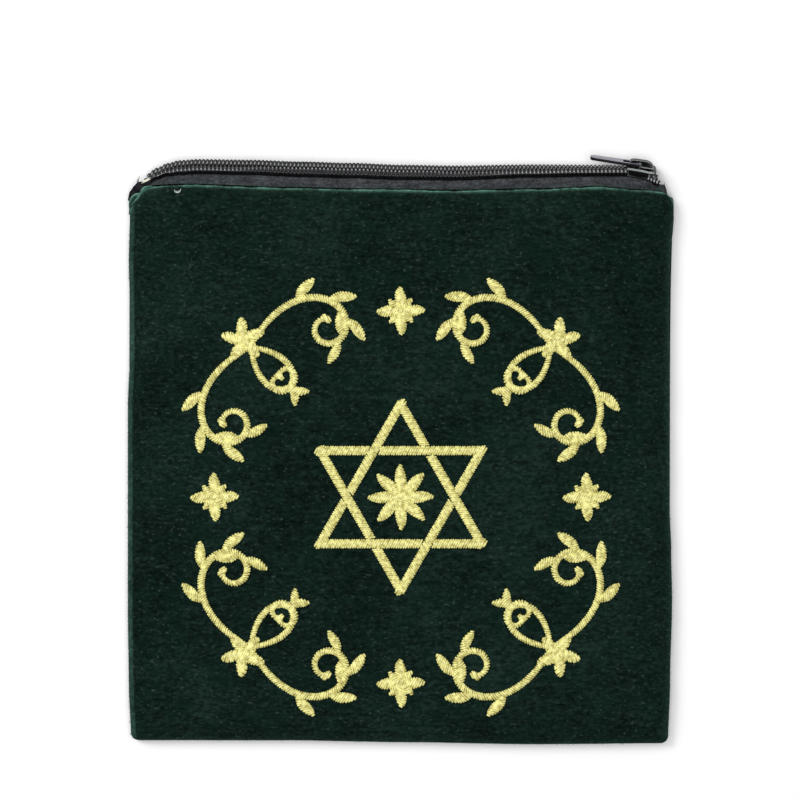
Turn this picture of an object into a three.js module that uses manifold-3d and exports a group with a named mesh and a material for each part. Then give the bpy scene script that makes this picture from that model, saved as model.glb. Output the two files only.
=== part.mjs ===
// A flat velvet zip pouch, the small kind of tallit bag, lying on its back.
// +X runs along the zip towards the slider, +Y from the bottom seam to the zip, +Z up. Lengths are millimetres.
import * as THREE from 'three';
import { mergeVertices } from 'three/addons/utils/BufferGeometryUtils.js';
import Module from 'manifold-3d';

const wasm = await Module();
wasm.setup();

// Bag
const bag_width = 218.2;
const velvet_height = 223.2;
const bag_depth = 9.8;
const seam_height = 2.4;
const seam_lip = 0.9;
const seam_allowance = 1.6;
const velvet_wall = 1.8;
const clearance = 0.3;
const side_reach = 14;
const back_reach = 6;
const edge_wave = 3.2;
const dent_depth = 0.7;
const flat_back_inset = 34;

// Mouth, where the front and back are folded in and sewn to the zip
const hem_thickness = 2.5;
const hem_length = 9;
const back_mouth_drop = 3.2;

// Corner radii of the two panels
const front_corners = { bottom_left: 3, bottom_right: 3, top_left: 7, top_right: 3.4 };
const back_corners = { bottom_left: 3, bottom_right: 3, top_left: 4.4, top_right: 3.4 };

// Zip
const tape_thickness = 0.8;
const tape_end_inset = 6.3;
const tape_under = 6;
const tape_shoulder = 0.1;
const fine_margin = 5;
const chain_half = 2.9;
const coil_height = 2.3;
const coil_valley = 1.3;
const row_gap = 0.3;
const tooth_pitch = 1.58;
const chain_reach = 6.25;
const chain_start_inset = 7.5;
const chain_end_inset = 6.2;

// Slider and its pull tab
const slider_end_inset = 13.7;
const slider_length = 12.2;
const slider_narrow = 8.2;
const slider_wide = 10.2;
const slider_tilt = 65;
const slider_turn = 8;
const plate_thickness = 1.1;
const inner_plate_width = 6.6;
const inner_plate_thickness = 0.8;
const flange_width = 0.9;
const flange_rim = 0.4;
const post_width = 1.3;
const post_length = 2.2;
const crown_length = 10.4;
const crown_width = 1.8;
const crown_thickness = 1.1;
const pull_bar = 1.2;
const pull_length = 19.2;
const pull_root_width = 4.6;
const pull_tip_width = 3.6;
const pull_window_length = 6;
const pull_window_width = 2.4;
const pull_thickness = 1.2;
const pull_rest_angle = 0.5;
const pivot_offset = -1.5;

// Embroidery
const thread_relief = 0.9;
const ornament_centre_height = 99;
const ornament_half = 80;
const star_radius = 37;
const star_bar = 3.2;
const stem_width = 2.4;
const scroll_width = 2.1;
const leaf_length = 11;
const leaf_width = 4;
const rosette_radius = 13;
const petal_width = 4.4;
const floret_radius = 9.5;
const blossom_radius = 9;
const blossom_petals = 5;

// How far each edge stands in from the bag's box: at is the share of the edge's length, in is a share of edge_wave.
const left_edge = [
  { at: 0, in: 0.4 }, { at: 0.11, in: 0.12 }, { at: 0.25, in: 0 }, { at: 0.6, in: 0 }, { at: 0.7, in: 0.25 },
  { at: 0.79, in: 0.24 }, { at: 0.86, in: 0.12 }, { at: 0.94, in: 0.24 }, { at: 1, in: 0.12 },
];
const right_edge = [
  { at: 0, in: 0.7 }, { at: 0.11, in: 0.44 }, { at: 0.26, in: 0.19 }, { at: 0.34, in: 0.3 },
  { at: 0.45, in: 0.56 }, { at: 0.79, in: 0.56 }, { at: 0.88, in: 0.42 }, { at: 0.955, in: 0 }, { at: 1, in: 0.1 },
];
const bottom_edge = [
  { at: 0, in: 0.5 }, { at: 0.3, in: 0.48 }, { at: 0.5, in: 0.25 }, { at: 0.75, in: 0 }, { at: 1, in: 0.12 },
];
const mouth_edge = [
  { at: 0, in: 0.3 }, { at: 0.1, in: 0 }, { at: 0.3, in: 0.4 }, { at: 0.45, in: 0.6 }, { at: 0.6, in: 0.75 },
  { at: 0.75, in: 0.55 }, { at: 0.86, in: 0.3 }, { at: 0.95, in: 0.7 }, { at: 1, in: 1 },
];

// Soft dents and swells of the front: place and reach as shares of width and height, rise as a share of dent_depth.
const front_dents = [
  { x: -0.3, y: 0.8, reach_x: 0.16, reach_y: 0.1, rise: -0.8 },
  { x: 0.08, y: 0.88, reach_x: 0.2, reach_y: 0.06, rise: -0.9 },
  { x: 0.36, y: 0.84, reach_x: 0.1, reach_y: 0.12, rise: 0.7 },
  { x: -0.38, y: 0.45, reach_x: 0.09, reach_y: 0.2, rise: -0.6 },
  { x: 0.4, y: 0.4, reach_x: 0.08, reach_y: 0.2, rise: -0.7 },
  { x: 0.05, y: 0.5, reach_x: 0.28, reach_y: 0.2, rise: 0.6 },
  { x: -0.2, y: 0.12, reach_x: 0.2, reach_y: 0.08, rise: -0.7 },
  { x: 0.28, y: 0.1, reach_x: 0.14, reach_y: 0.08, rise: 0.5 },
];

// The chain's middle line: at is the place along the chain, beyond the distance past the mouth and lift its height
// above the hem's underside, both as shares of chain_reach, and tilt how far its face leans from straight up
// towards +Y, in degrees.
const chain_route = [
  { at: 0, beyond: 0.22, lift: 0, tilt: 42 }, { at: 0.02, beyond: 0.6, lift: 0, tilt: 42 },
  { at: 0.042, beyond: 0.9, lift: 0, tilt: 41 }, { at: 0.065, beyond: 1.08, lift: 0, tilt: 40 },
  { at: 0.1, beyond: 1.15, lift: 0, tilt: 39 }, { at: 0.2, beyond: 1.11, lift: 0, tilt: 36 },
  { at: 0.3, beyond: 1, lift: 0, tilt: 32 }, { at: 0.4, beyond: 0.91, lift: 0, tilt: 34 },
  { at: 0.5, beyond: 0.79, lift: 0, tilt: 36 }, { at: 0.6, beyond: 0.74, lift: 0, tilt: 40 },
  { at: 0.75, beyond: 0.83, lift: 0.02, tilt: 52 }, { at: 0.85, beyond: 0.83, lift: 0.06, tilt: 60 },
  { at: 0.93, beyond: 0.8, lift: 0.11, tilt: slider_tilt }, { at: 1, beyond: 0.48, lift: 0.11, tilt: slider_tilt },
];

const velvet = new THREE.MeshStandardMaterial({ color: 0x13221d, roughness: 0.95, metalness: 0 });
const tape_cloth = new THREE.MeshStandardMaterial({ color: 0x2b2f31, roughness: 0.85, metalness: 0 });
const coil_nylon = new THREE.MeshStandardMaterial({ color: 0x17181b, roughness: 0.35, metalness: 0 });
const black_enamel = new THREE.MeshStandardMaterial({ color: 0x0c0d10, roughness: 0.25, metalness: 0.3 });
const gold_thread = new THREE.MeshStandardMaterial({ color: 0xdad58a, roughness: 0.5, metalness: 0.1 });

const radians = THREE.MathUtils.degToRad;
const clamp = THREE.MathUtils.clamp;
const lerp = THREE.MathUtils.lerp;

// Reads a column of a table at a share, eased between its rows.
function column(table, name, share) {
  const last = table.length - 1;
  let row = 0;
  while (row < last - 1 && share > table[row + 1].at) row += 1;
  const from = table[row];
  const to = table[row + 1];
  const t = clamp((share - from.at) / (to.at - from.at), 0, 1);
  return lerp(from[name], to[name], t * t * (3 - 2 * t));
}

const left_at = (share) => -bag_width / 2 + edge_wave * column(left_edge, 'in', share);
const right_at = (share) => bag_width / 2 - edge_wave * column(right_edge, 'in', share);
const bottom_at = (share) => edge_wave * column(bottom_edge, 'in', share);
const mouth_at = (share) => velvet_height - edge_wave * column(mouth_edge, 'in', share);
const width_share = (x) => x / bag_width + 0.5;

// A closed body between an upper and a lower grid of points of the same size.
function slab(upper, lower) {
  const rows = upper.length;
  const columns = upper[0].length;
  const positions = [...upper.flat(), ...lower.flat()].flatMap((p) => [p.x, p.y, p.z]);
  const top = (i, j) => i * columns + j;
  const under = (i, j) => rows * columns + i * columns + j;
  const faces = [];
  const quad = (a, b, c, d) => faces.push(a, b, c, a, c, d);
  for (let i = 0; i < rows - 1; i += 1) {
    for (let j = 0; j < columns - 1; j += 1) {
      quad(top(i, j), top(i, j + 1), top(i + 1, j + 1), top(i + 1, j));
      quad(under(i, j), under(i + 1, j), under(i + 1, j + 1), under(i, j + 1));
    }
    quad(top(i, 0), top(i + 1, 0), under(i + 1, 0), under(i, 0));
    quad(top(i + 1, columns - 1), top(i, columns - 1), under(i, columns - 1), under(i + 1, columns - 1));
  }
  for (let j = 0; j < columns - 1; j += 1) {
    quad(top(0, j + 1), top(0, j), under(0, j), under(0, j + 1));
    quad(top(rows - 1, j), top(rows - 1, j + 1), under(rows - 1, j + 1), under(rows - 1, j));
  }
  const geometry = new THREE.BufferGeometry();
  geometry.setAttribute('position', new THREE.Float32BufferAttribute(positions, 3));
  geometry.setIndex(faces);
  return geometry;
}

// Grid lines across a panel: distances from each edge where it curves, and a few between.
function grid_lines(near, far, between) {
  const lines = near.map((inset) => ({ inset }));
  for (let k = 1; k <= between; k += 1) lines.push({ share: k / (between + 1) });
  return lines.concat([...far].reverse().map((inset) => ({ inset_far: inset })));
}

function along(line, low, high, near_last, far_last) {
  if (line.inset !== undefined) return low + line.inset;
  if (line.inset_far !== undefined) return high - line.inset_far;
  return lerp(low + near_last, high - far_last, line.share);
}

// Draws the square corner of a panel in to an arc.
function round_corner(x, y, box, corners) {
  const side = x < 0 ? 'left' : 'right';
  const end = y < velvet_height / 2 ? 'bottom' : 'top';
  const radius = corners[`${end}_${side}`];
  const from_side = side === 'left' ? x - box.left : box.right - x;
  const from_end = end === 'bottom' ? y - box.bottom : box.top - y;
  const a = 1 - from_side / radius;
  const b = 1 - from_end / radius;
  if (a <= 0 || b <= 0) return [x, y];
  const move_x = radius * a * (1 - Math.sqrt(1 - (b * b) / 2));
  const move_y = radius * b * (1 - Math.sqrt(1 - (a * a) / 2));
  return [side === 'left' ? x + move_x : x - move_x, end === 'bottom' ? y + move_y : y - move_y];
}

// How full the pouch is at a distance in from a seam, from 0 at the seam to 1.
function fullness(distance, reach) {
  const s = 1 - clamp(distance / reach, 0, 1);
  return Math.sqrt(1 - s * s);
}

function seam_fullness(x, y, box, inset, reach) {
  return fullness(x - box.left - inset, reach) * fullness(box.right - x - inset, reach)
    * fullness(y - box.bottom - inset, reach);
}

function dents(x, y) {
  let rise = 0;
  for (const dent of front_dents) {
    const u = (x / bag_width - dent.x) / dent.reach_x;
    const v = (y / velvet_height - dent.y) / dent.reach_y;
    rise += dent.rise * Math.exp(-u * u - v * v);
  }
  return dent_depth * rise;
}

const front_base = seam_height + clearance / 2;
const back_base = seam_height - clearance / 2;

function box_at(x, y) {
  const height_share = clamp(y / velvet_height, 0, 1);
  const share = clamp(width_share(x), 0, 1);
  return {
    left: left_at(height_share), right: right_at(height_share), bottom: bottom_at(share), top: mouth_at(share),
  };
}

// Height of the velvet's outer face over the table, away from the roll at the mouth.
function front_height(x, y) {
  const full = seam_fullness(x, y, box_at(x, y), 0, side_reach);
  const edge = front_base + seam_lip;
  return edge + (bag_depth - edge + dents(x, y)) * full;
}

// Height of its inner face, which comes down to a flat seam allowance at the sides and the bottom.
function front_inside(x, y, thickness) {
  const full = seam_fullness(x, y, box_at(x, y), seam_allowance + velvet_wall, side_reach - velvet_wall);
  return front_base + Math.max(0, front_height(x, y) - thickness - front_base) * full;
}

// The front velvet: an outer face that rolls over at the seams and at the mouth, and an inner face one wall below.
function front_panel() {
  const side = [0, 0.35, 1.2, seam_allowance + velvet_wall, 5.4, 8.6, side_reach];
  const roll = hem_thickness / 2;
  const mouth = [0, roll * 0.3, roll, hem_length - clearance, hem_length, hem_length * 2.2];
  const x_lines = grid_lines(side, side, 6);
  const y_lines = grid_lines(side, mouth, 5);
  const upper = [];
  const lower = [];
  for (const x_line of x_lines) {
    const upper_row = [];
    const lower_row = [];
    for (const y_line of y_lines) {
      const guess_y = along(y_line, 0, velvet_height, side_reach, hem_length * 2.2);
      const height_share = guess_y / velvet_height;
      const x = along(x_line, left_at(height_share), right_at(height_share), side_reach, side_reach);
      const share = width_share(x);
      const y = along(y_line, bottom_at(share), mouth_at(share), side_reach, hem_length * 2.2);
      const box = box_at(x, y);
      const from_mouth = box.top - y;
      const outer = front_height(x, y);
      const ease = 1 - fullness(from_mouth, roll);
      const inner = front_inside(x, y, from_mouth < hem_length - clearance / 2 ? hem_thickness : velvet_wall);
      const [px, py] = round_corner(x, y, box, front_corners);
      const nose = Math.min(roll, (outer - inner) / 2 - 0.05) * ease;
      upper_row.push({ x: px, y: py, z: outer - nose });
      lower_row.push({ x: px, y: py, z: inner > front_base ? inner + nose : inner });
    }
    upper.push(upper_row);
    lower.push(lower_row);
  }
  return slab(upper.map((row) => [...row]).reverse(), lower.map((row) => [...row]).reverse());
}

// Height of the back velvet's outer face, flat on the table and drawn up to the seams.
function back_height(x, y, box) {
  const full = seam_fullness(x, y, box, 0, back_reach);
  return (back_base - seam_lip) * (1 - full);
}

function back_panel() {
  const side = [0, 0.35, 1.2, seam_allowance + velvet_wall, back_reach, flat_back_inset];
  const roll = velvet_wall / 2;
  const mouth = [0, roll * 0.4, roll * 1.2, hem_length, flat_back_inset];
  const x_lines = grid_lines(side, side, 4);
  const y_lines = grid_lines(side, mouth, 0);
  const upper = [];
  const lower = [];
  for (const x_line of x_lines) {
    const upper_row = [];
    const lower_row = [];
    for (const y_line of y_lines) {
      const guess_y = along(y_line, 0, velvet_height, 0, 0);
      const height_share = guess_y / velvet_height;
      const x = along(x_line, left_at(height_share), right_at(height_share), flat_back_inset, flat_back_inset);
      const share = width_share(x);
      const y = along(y_line, bottom_at(share), mouth_at(share) - back_mouth_drop, 0, 0);
      const box = box_at(x, y);
      box.top -= back_mouth_drop;
      const outer = back_height(x, y, box);
      const full = seam_fullness(x, y, box, seam_allowance, back_reach - seam_allowance);
      const inner = back_base - (back_base - velvet_wall) * full;
      const nose = Math.min(roll, (inner - outer) / 2 - 0.05) * (1 - fullness(box.top - y, roll * 1.2));
      const [px, py] = round_corner(x, y, box, back_corners);
      upper_row.push({ x: px, y: py, z: inner - nose });
      lower_row.push({ x: px, y: py, z: outer + nose });
    }
    upper.push(upper_row);
    lower.push(lower_row);
  }
  return slab(upper.reverse(), lower.reverse());
}

// One place along the zip: its middle, its lean and the directions across the chain and out of its face.
const chain_left = -bag_width / 2 + chain_start_inset;
const chain_right = bag_width / 2 - chain_end_inset;
const slider_x = bag_width / 2 - slider_end_inset;

function hem_underside(x) {
  return front_inside(x, mouth_at(width_share(x)) - hem_thickness, hem_thickness);
}

function chain_at(x) {
  const share = (x - chain_left) / (chain_right - chain_left);
  const tilt = radians(column(chain_route, 'tilt', share));
  const past_end = clamp((x - slider_x - slider_length / 2) / (chain_end_inset * 0.6), 0, 1);
  const beyond = column(chain_route, 'beyond', share) * (1 - 0.75 * past_end);
  const level = x > slider_x - slider_length ? slider_x : x;
  const lift = chain_reach * column(chain_route, 'lift', share);
  const z = hem_underside(level) - clearance + lift - chain_half * Math.sin(tilt);
  return {
    y: velvet_height + chain_reach * beyond, z, tilt,
    across: [Math.cos(tilt), -Math.sin(tilt)], out: [Math.sin(tilt), Math.cos(tilt)],
  };
}

// A point of the zip's cross-section at x: t across the chain from its middle, n out of its face.
function on_chain(x, t, n) {
  const place = chain_at(x);
  return {
    x, y: place.y + t * place.across[0] + n * place.out[0], z: place.z + t * place.across[1] + n * place.out[1],
  };
}

// How far each row of the zip stands from the middle line: closed behind the slider, parted ahead of it.
function parting(x) {
  const ahead = clamp((x - slider_x + 1) / (slider_length / 2), 0, 1);
  return row_gap / 2 + (post_width / 2 + clearance - row_gap / 2) * ahead;
}

// Places along the zip: close together at its ends and round the slider, further apart between.
function stations(end) {
  const fine = 2.4;
  const coarse = 9;
  const near_end = end - slider_end_inset - slider_length;
  const runs = [[-end, -near_end, fine], [-near_end, near_end, coarse], [near_end, end, fine]];
  const places = runs.flatMap(([low, high, spacing]) => {
    const count = Math.ceil((high - low) / spacing);
    return Array.from({ length: count }, (unused, k) => lerp(low, high, k / count));
  });
  return [...places, chain_left, chain_right, end].sort((a, b) => a - b);
}

// Where the tape bends away from the plane of the chain: just past the chain, or past the slider's inner plate.
function shoulder(x) {
  const from_slider = Math.abs(x - slider_x) - slider_length / 2;
  const beside = clamp(1 - from_slider / fine_margin, 0, 1);
  return lerp(chain_half + tape_shoulder, inner_plate_width / 2 + clearance + 0.1, beside);
}

// A row of coil: a low bar along the tape with one rib for every two turns.
function zip_coil(side) {
  const turns = Math.round((chain_right - chain_left) / tooth_pitch / 2);
  const upper = [];
  const lower = [];
  for (let k = 0; k <= turns * 2; k += 1) {
    const x = lerp(chain_left, chain_right, k / (turns * 2));
    const near = parting(x);
    const far = near + chain_half - row_gap / 2;
    const height = k % 2 ? coil_height : coil_valley;
    const inside = side * near;
    const outside = side * (far - (k % 2 ? 0 : 0.25));
    const edges = side > 0 ? [inside, outside] : [outside, inside];
    upper.push(edges.map((t) => on_chain(x, t, height)));
    lower.push(edges.map((t) => on_chain(x, t, clearance)));
  }
  return slab(upper.reverse(), lower.reverse());
}

// A point of the tape at x, which past the ends of the chain runs on level and in towards the fold.
function on_tape(x, t, level_out) {
  const chain_x = clamp(x, chain_left, chain_right);
  const point = { ...on_chain(chain_x, t, 0), x };
  const past = clamp(Math.abs(x - chain_x) / 3, 0, 1);
  point.y = lerp(point.y, mouth_at(width_share(x)) + level_out, past * 0.6);
  return point;
}

// The front tape: from under the front hem, out past the fold and down under its row of coil.
function zip_tape_front() {
  const upper = [];
  const lower = [];
  for (const x of stations(bag_width / 2 - tape_end_inset)) {
    const fold = mouth_at(width_share(x));
    const level = hem_underside(x) - clearance;
    const chain_x = clamp(x, chain_left, chain_right);
    const near = on_tape(x, -parting(chain_x), 2.4);
    const bend = on_tape(x, -shoulder(x), 1.4);
    const flat = [
      { x, y: fold - hem_length + 1, z: level }, { x, y: fold + 0.4, z: level },
      { x, y: lerp(fold, bend.y, 0.62), z: Math.max(level, lerp(level, bend.z, 0.8)) },
    ];
    const [out_y, out_z] = chain_at(chain_x).out;
    upper.push([...flat, bend, near]);
    lower.push([...flat.map((p) => ({ ...p, z: p.z - tape_thickness })),
      ...[bend, near].map((p) => ({ x, y: p.y - out_y * tape_thickness, z: p.z - out_z * tape_thickness }))]);
  }
  return slab(upper.reverse(), lower.reverse());
}

// The back tape: from under its row of coil, turned down under the slider's plate and back to the back hem.
function zip_tape_back() {
  const outer = [];
  const inner = [];
  const floor = 0.05;
  const on_back = velvet_wall + clearance;
  for (const x of stations(bag_width / 2 - tape_end_inset)) {
    const fold = mouth_at(width_share(x)) - back_mouth_drop;
    const chain_x = clamp(x, chain_left, chain_right);
    const near = on_tape(x, parting(chain_x), 3);
    const far = on_tape(x, shoulder(x), 4.4);
    const [out_y, out_z] = chain_at(chain_x).out;
    const low = Math.min(floor + 0.5, far.z * 0.3);
    outer.push([near, far, { x, y: far.y - 0.35, z: floor + 0.35 }, { x, y: far.y - 2.4, z: low * 0.2 + floor },
      { x, y: fold + 1.6, z: on_back - 1 }, { x, y: fold - 1, z: on_back }, { x, y: fold - tape_under, z: on_back }]);
    inner.push([
      { x, y: near.y - out_y * tape_thickness, z: near.z - out_z * tape_thickness },
      { x, y: far.y - out_y * tape_thickness, z: far.z - out_z * tape_thickness },
      { x, y: far.y - 1.1, z: floor + 0.35 + tape_thickness * 0.7 },
      { x, y: far.y - 2.5, z: low * 0.2 + floor + tape_thickness },
      { x, y: fold + 1.8, z: on_back - 1 + tape_thickness }, { x, y: fold - 1, z: on_back + tape_thickness },
      { x, y: fold - tape_under, z: on_back + tape_thickness }]);
  }
  return slab(outer.reverse(), inner.reverse());
}

// Solids for cutting and joining
function solid(geometry) {
  const bare = geometry.clone();
  for (const name of Object.keys(bare.attributes)) {
    if (name !== 'position') bare.deleteAttribute(name);
  }
  const merged = mergeVertices(bare, 1e-4);
  return new wasm.Manifold(new wasm.Mesh({
    numProp: 3, vertProperties: merged.attributes.position.array, triVerts: new Uint32Array(merged.index.array),
  }));
}

function shell(manifold) {
  const mesh = manifold.getMesh();
  const geometry = new THREE.BufferGeometry();
  geometry.setAttribute('position', new THREE.Float32BufferAttribute(Float32Array.from(mesh.vertProperties), 3));
  geometry.setIndex([...mesh.triVerts]);
  return geometry;
}

function joined(parts) {
  return parts.map(solid).reduce((whole, next) => whole.add(next));
}

function plate(shape, low, high, segments = 6) {
  const geometry = new THREE.ExtrudeGeometry(shape, {
    depth: high - low, bevelEnabled: false, curveSegments: segments,
  });
  return geometry.translate(0, 0, low);
}

// Slider, in its own frame: x along the chain, y across it towards the back, z out of its face.
const plate_low = coil_height + clearance;
const plate_high = plate_low + plate_thickness;
const inner_high = -tape_thickness - clearance;
const pivot_height = plate_high + clearance + pull_bar / 2;
const crown_underside = pivot_height + pull_bar / 2 + clearance;

function slider_outline(margin) {
  const half = slider_length / 2 - margin;
  const narrow = slider_narrow / 2 - margin;
  const wide = slider_wide / 2 - margin;
  const shape = new THREE.Shape();
  shape.moveTo(-half, -narrow + 0.8);
  shape.quadraticCurveTo(-half, -narrow, -half + 1, -narrow);
  shape.lineTo(-0.1 * half, -narrow);
  shape.lineTo(half * 0.55, -wide);
  shape.quadraticCurveTo(half, -wide, half, -wide * 0.62);
  shape.lineTo(half, wide * 0.62);
  shape.quadraticCurveTo(half, wide, half * 0.55, wide);
  shape.lineTo(-0.1 * half, narrow);
  shape.lineTo(-half + 1, narrow);
  shape.quadraticCurveTo(-half, narrow, -half, narrow - 0.8);
  shape.closePath();
  return shape;
}

// The side flanges follow the plate's edge from its narrow end to its wide shoulders.
function flange(side) {
  const half = slider_length / 2;
  const narrow = slider_narrow / 2;
  const wide = slider_wide / 2;
  const shape = new THREE.Shape();
  const path = [[-half + 1, narrow], [-0.1 * half, narrow], [half * 0.55, wide]];
  const inner = path.map(([x, y]) => [x, y - flange_width]).reverse();
  const points = [...path, ...inner].map(([x, y]) => new THREE.Vector2(x, side * y));
  shape.setFromPoints(points);
  return plate(shape, flange_rim, plate_low + 0.2);
}

function slider_body() {
  const half = slider_length / 2;
  const outer = plate(slider_outline(0), plate_low, plate_high - 0.35, 3);
  const crest = plate(slider_outline(0.5), plate_low + 0.2, plate_high, 3);
  const tongue = inner_plate_width / 2;
  const inner_shape = new THREE.Shape();
  inner_shape.moveTo(-half + 0.9, -tongue);
  inner_shape.lineTo(half - 0.9, -tongue);
  inner_shape.quadraticCurveTo(half, 0, half - 0.9, tongue);
  inner_shape.lineTo(-half + 0.9, tongue);
  inner_shape.quadraticCurveTo(-half, 0, -half + 0.9, -tongue);
  const inner = plate(inner_shape, inner_high - inner_plate_thickness, inner_high, 3);
  const post = new THREE.Shape();
  post.moveTo(half - post_length, 0);
  post.quadraticCurveTo(half - post_length, post_width / 2, half - 0.3, post_width / 2);
  post.lineTo(half - 0.3, -post_width / 2);
  post.quadraticCurveTo(half - post_length, -post_width / 2, half - post_length, 0);
  const bridge = new THREE.Shape();
  const top = crown_underside + crown_thickness;
  const reach = crown_length / 2;
  bridge.moveTo(-reach, plate_low + 0.3);
  bridge.lineTo(-reach, plate_high + 0.6);
  bridge.quadraticCurveTo(-reach, top, -reach + 2.2, top);
  bridge.lineTo(reach - 3.4, top);
  bridge.quadraticCurveTo(reach - 0.2, top - 0.3, reach, plate_low + 0.3);
  const cap_start = pivot_offset + pull_bar / 2 + 2 * clearance;
  bridge.lineTo(cap_start, plate_low + 0.3);
  bridge.lineTo(cap_start, crown_underside - clearance);
  bridge.lineTo(cap_start - clearance, crown_underside);
  bridge.lineTo(-reach + 2.4, crown_underside);
  bridge.quadraticCurveTo(-reach + crown_thickness, crown_underside, -reach + crown_thickness, plate_low + 0.3);
  bridge.closePath();
  const crown = plate(bridge, -crown_width / 2, crown_width / 2, 4).rotateX(Math.PI / 2);
  return shell(joined([outer, crest, inner, flange(1), flange(-1),
    plate(post, inner_high - 0.2, plate_low + 0.2, 3), crown]));
}

// Pull tab, in the frame of its pivot: it reaches towards -X, with a window round the crown.
function pull_tab() {
  const root = pull_root_width / 2;
  const tip = pull_tip_width / 2;
  const shape = new THREE.Shape();
  shape.moveTo(pull_bar / 2, -root);
  shape.lineTo(pull_bar / 2, root);
  shape.lineTo(-pull_window_length - 1.5, root);
  shape.lineTo(-pull_length + 1.8, tip);
  shape.quadraticCurveTo(-pull_length, tip, -pull_length, 0);
  shape.quadraticCurveTo(-pull_length, -tip, -pull_length + 1.8, -tip);
  shape.lineTo(-pull_window_length - 1.5, -root);
  shape.closePath();
  const window = new THREE.Path();
  const half_window = pull_window_width / 2;
  window.moveTo(-pull_bar / 2, -half_window);
  window.lineTo(-pull_window_length, -half_window);
  window.lineTo(-pull_window_length, half_window);
  window.lineTo(-pull_bar / 2, half_window);
  window.closePath();
  shape.holes.push(window);
  return plate(shape, -pull_thickness / 2, pull_thickness / 2, 5);
}

// Embroidery
// A curling stroke has its points closer together where it turns most.
const stroke_share = (share, curl) => (curl ? share ** 0.6 : share);

// A stroke is a curved line with a width: it starts at (x, y), heads at start degrees, turns evenly by sweep
// and more and more by curl, over its length.
function stroke_line({ x, y, start, sweep = 0, curl = 0, length, steps }) {
  const points = [[x, y]];
  const walk = 10;
  let px = x;
  let py = y;
  for (let k = 0; k < steps; k += 1) {
    const from = stroke_share(k / steps, curl);
    const to = stroke_share((k + 1) / steps, curl);
    for (let j = 0; j < walk; j += 1) {
      const t = lerp(from, to, (j + 0.5) / walk);
      const heading = radians(start + sweep * t + curl * t ** 3);
      px += (Math.cos(heading) * length * (to - from)) / walk;
      py += (Math.sin(heading) * length * (to - from)) / walk;
    }
    points.push([px, py]);
  }
  return points;
}

function heading_at(points, k) {
  const from = points[Math.max(0, k - 1)];
  const to = points[Math.min(points.length - 1, k + 1)];
  return Math.atan2(to[1] - from[1], to[0] - from[0]);
}

const widths = {
  leaf: (t) => Math.sin(Math.PI * t) ** 0.75,
  stem: (t) => 0.55 + 0.45 * Math.sin(Math.PI * t) ** 0.6,
};

// The outline of a stroke, as a shape that is then raised.
function stroke_shape(points, kind, width) {
  const last = points.length - 1;
  const left = [];
  const right = [];
  points.forEach(([x, y], k) => {
    const half = (width * widths[kind](k / last)) / 2;
    const heading = heading_at(points, k);
    left.push(new THREE.Vector2(x - Math.sin(heading) * half, y + Math.cos(heading) * half));
    if (half > 0.02) right.push(new THREE.Vector2(x + Math.sin(heading) * half, y - Math.cos(heading) * half));
  });
  return new THREE.Shape([...left, ...right.reverse()]);
}

const raised = (shape) => solid(plate(shape, 0, thread_relief));
const raised_stroke = (spec, kind, width) => raised(stroke_shape(stroke_line(spec), kind, width));

function raised_dot(x, y, radius, sides) {
  const points = [];
  for (let k = 0; k < sides; k += 1) {
    const angle = (2 * Math.PI * k) / sides;
    points.push(new THREE.Vector2(x + radius * Math.cos(angle), y + radius * Math.sin(angle)));
  }
  return raised(new THREE.Shape(points));
}

// A spray of vine for one corner, drawn for the lower left and turned for the others. Places and lengths of stems
// are shares of ornament_half, and a dot's radius is a share of its stem's width.
const spray_stems = [
  { x: 0.2625, y: 0.2375, start: -62, sweep: 95, curl: 330, length: 0.975, steps: 13, width: stem_width, dot: 0.7 },
  { x: 0.2625, y: 0.25625, start: 8, sweep: 60, curl: 300, length: 0.5, steps: 9, width: scroll_width, dot: 0.66 },
];
const spray_leaves = [
  { stem: 0, at: 0.12, side: -1, size: 1 }, { stem: 0, at: 0.27, side: -1, size: 1 },
  { stem: 0, at: 0.4, side: 1, size: 0.95 }, { stem: 0, at: 0.45, side: -1, size: 1 },
  { stem: 0, at: 0.6, side: -1, size: 0.9 }, { stem: 1, at: 0.42, side: -1, size: 0.8 },
];

function spray() {
  const pieces = [];
  for (const flip of [false, true]) {
    const half = [];
    const stems = spray_stems.map((stem) => stroke_line({
      ...stem, x: stem.x * ornament_half, y: stem.y * ornament_half, length: stem.length * ornament_half,
    }));
    stems.forEach((points, k) => {
      half.push(raised(stroke_shape(points, 'stem', spray_stems[k].width)));
      const [x, y] = points[points.length - 1];
      half.push(raised_dot(x, y, spray_stems[k].dot * spray_stems[k].width, 6));
    });
    for (const leaf of spray_leaves) {
      const points = stems[leaf.stem];
      const k = Math.round(leaf.at * (points.length - 1));
      const heading = THREE.MathUtils.radToDeg(heading_at(points, k));
      half.push(raised_stroke({
        x: points[k][0], y: points[k][1], start: heading + leaf.side * 48, sweep: -leaf.side * 28,
        length: leaf_length * leaf.size, steps: 3,
      }, 'leaf', leaf_width * leaf.size));
    }
    const whole = half.reduce((sum, next) => sum.add(next));
    pieces.push(flip ? whole.transform([0, 1, 0, 0, 1, 0, 0, 0, 0, 0, 1, 0, 0, 0, 0, 1]) : whole);
  }
  const blossom = ornament_half * 0.21875;
  for (let k = 0; k < blossom_petals; k += 1) {
    const start = 45 + (360 * k) / blossom_petals;
    pieces.push(raised_stroke({ x: blossom, y: blossom, start, length: blossom_radius, steps: 3 },
      'leaf', petal_width));
  }
  pieces.push(raised_dot(blossom, blossom, petal_width / 2, 8));
  return pieces.reduce((sum, next) => sum.add(next));
}

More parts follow.
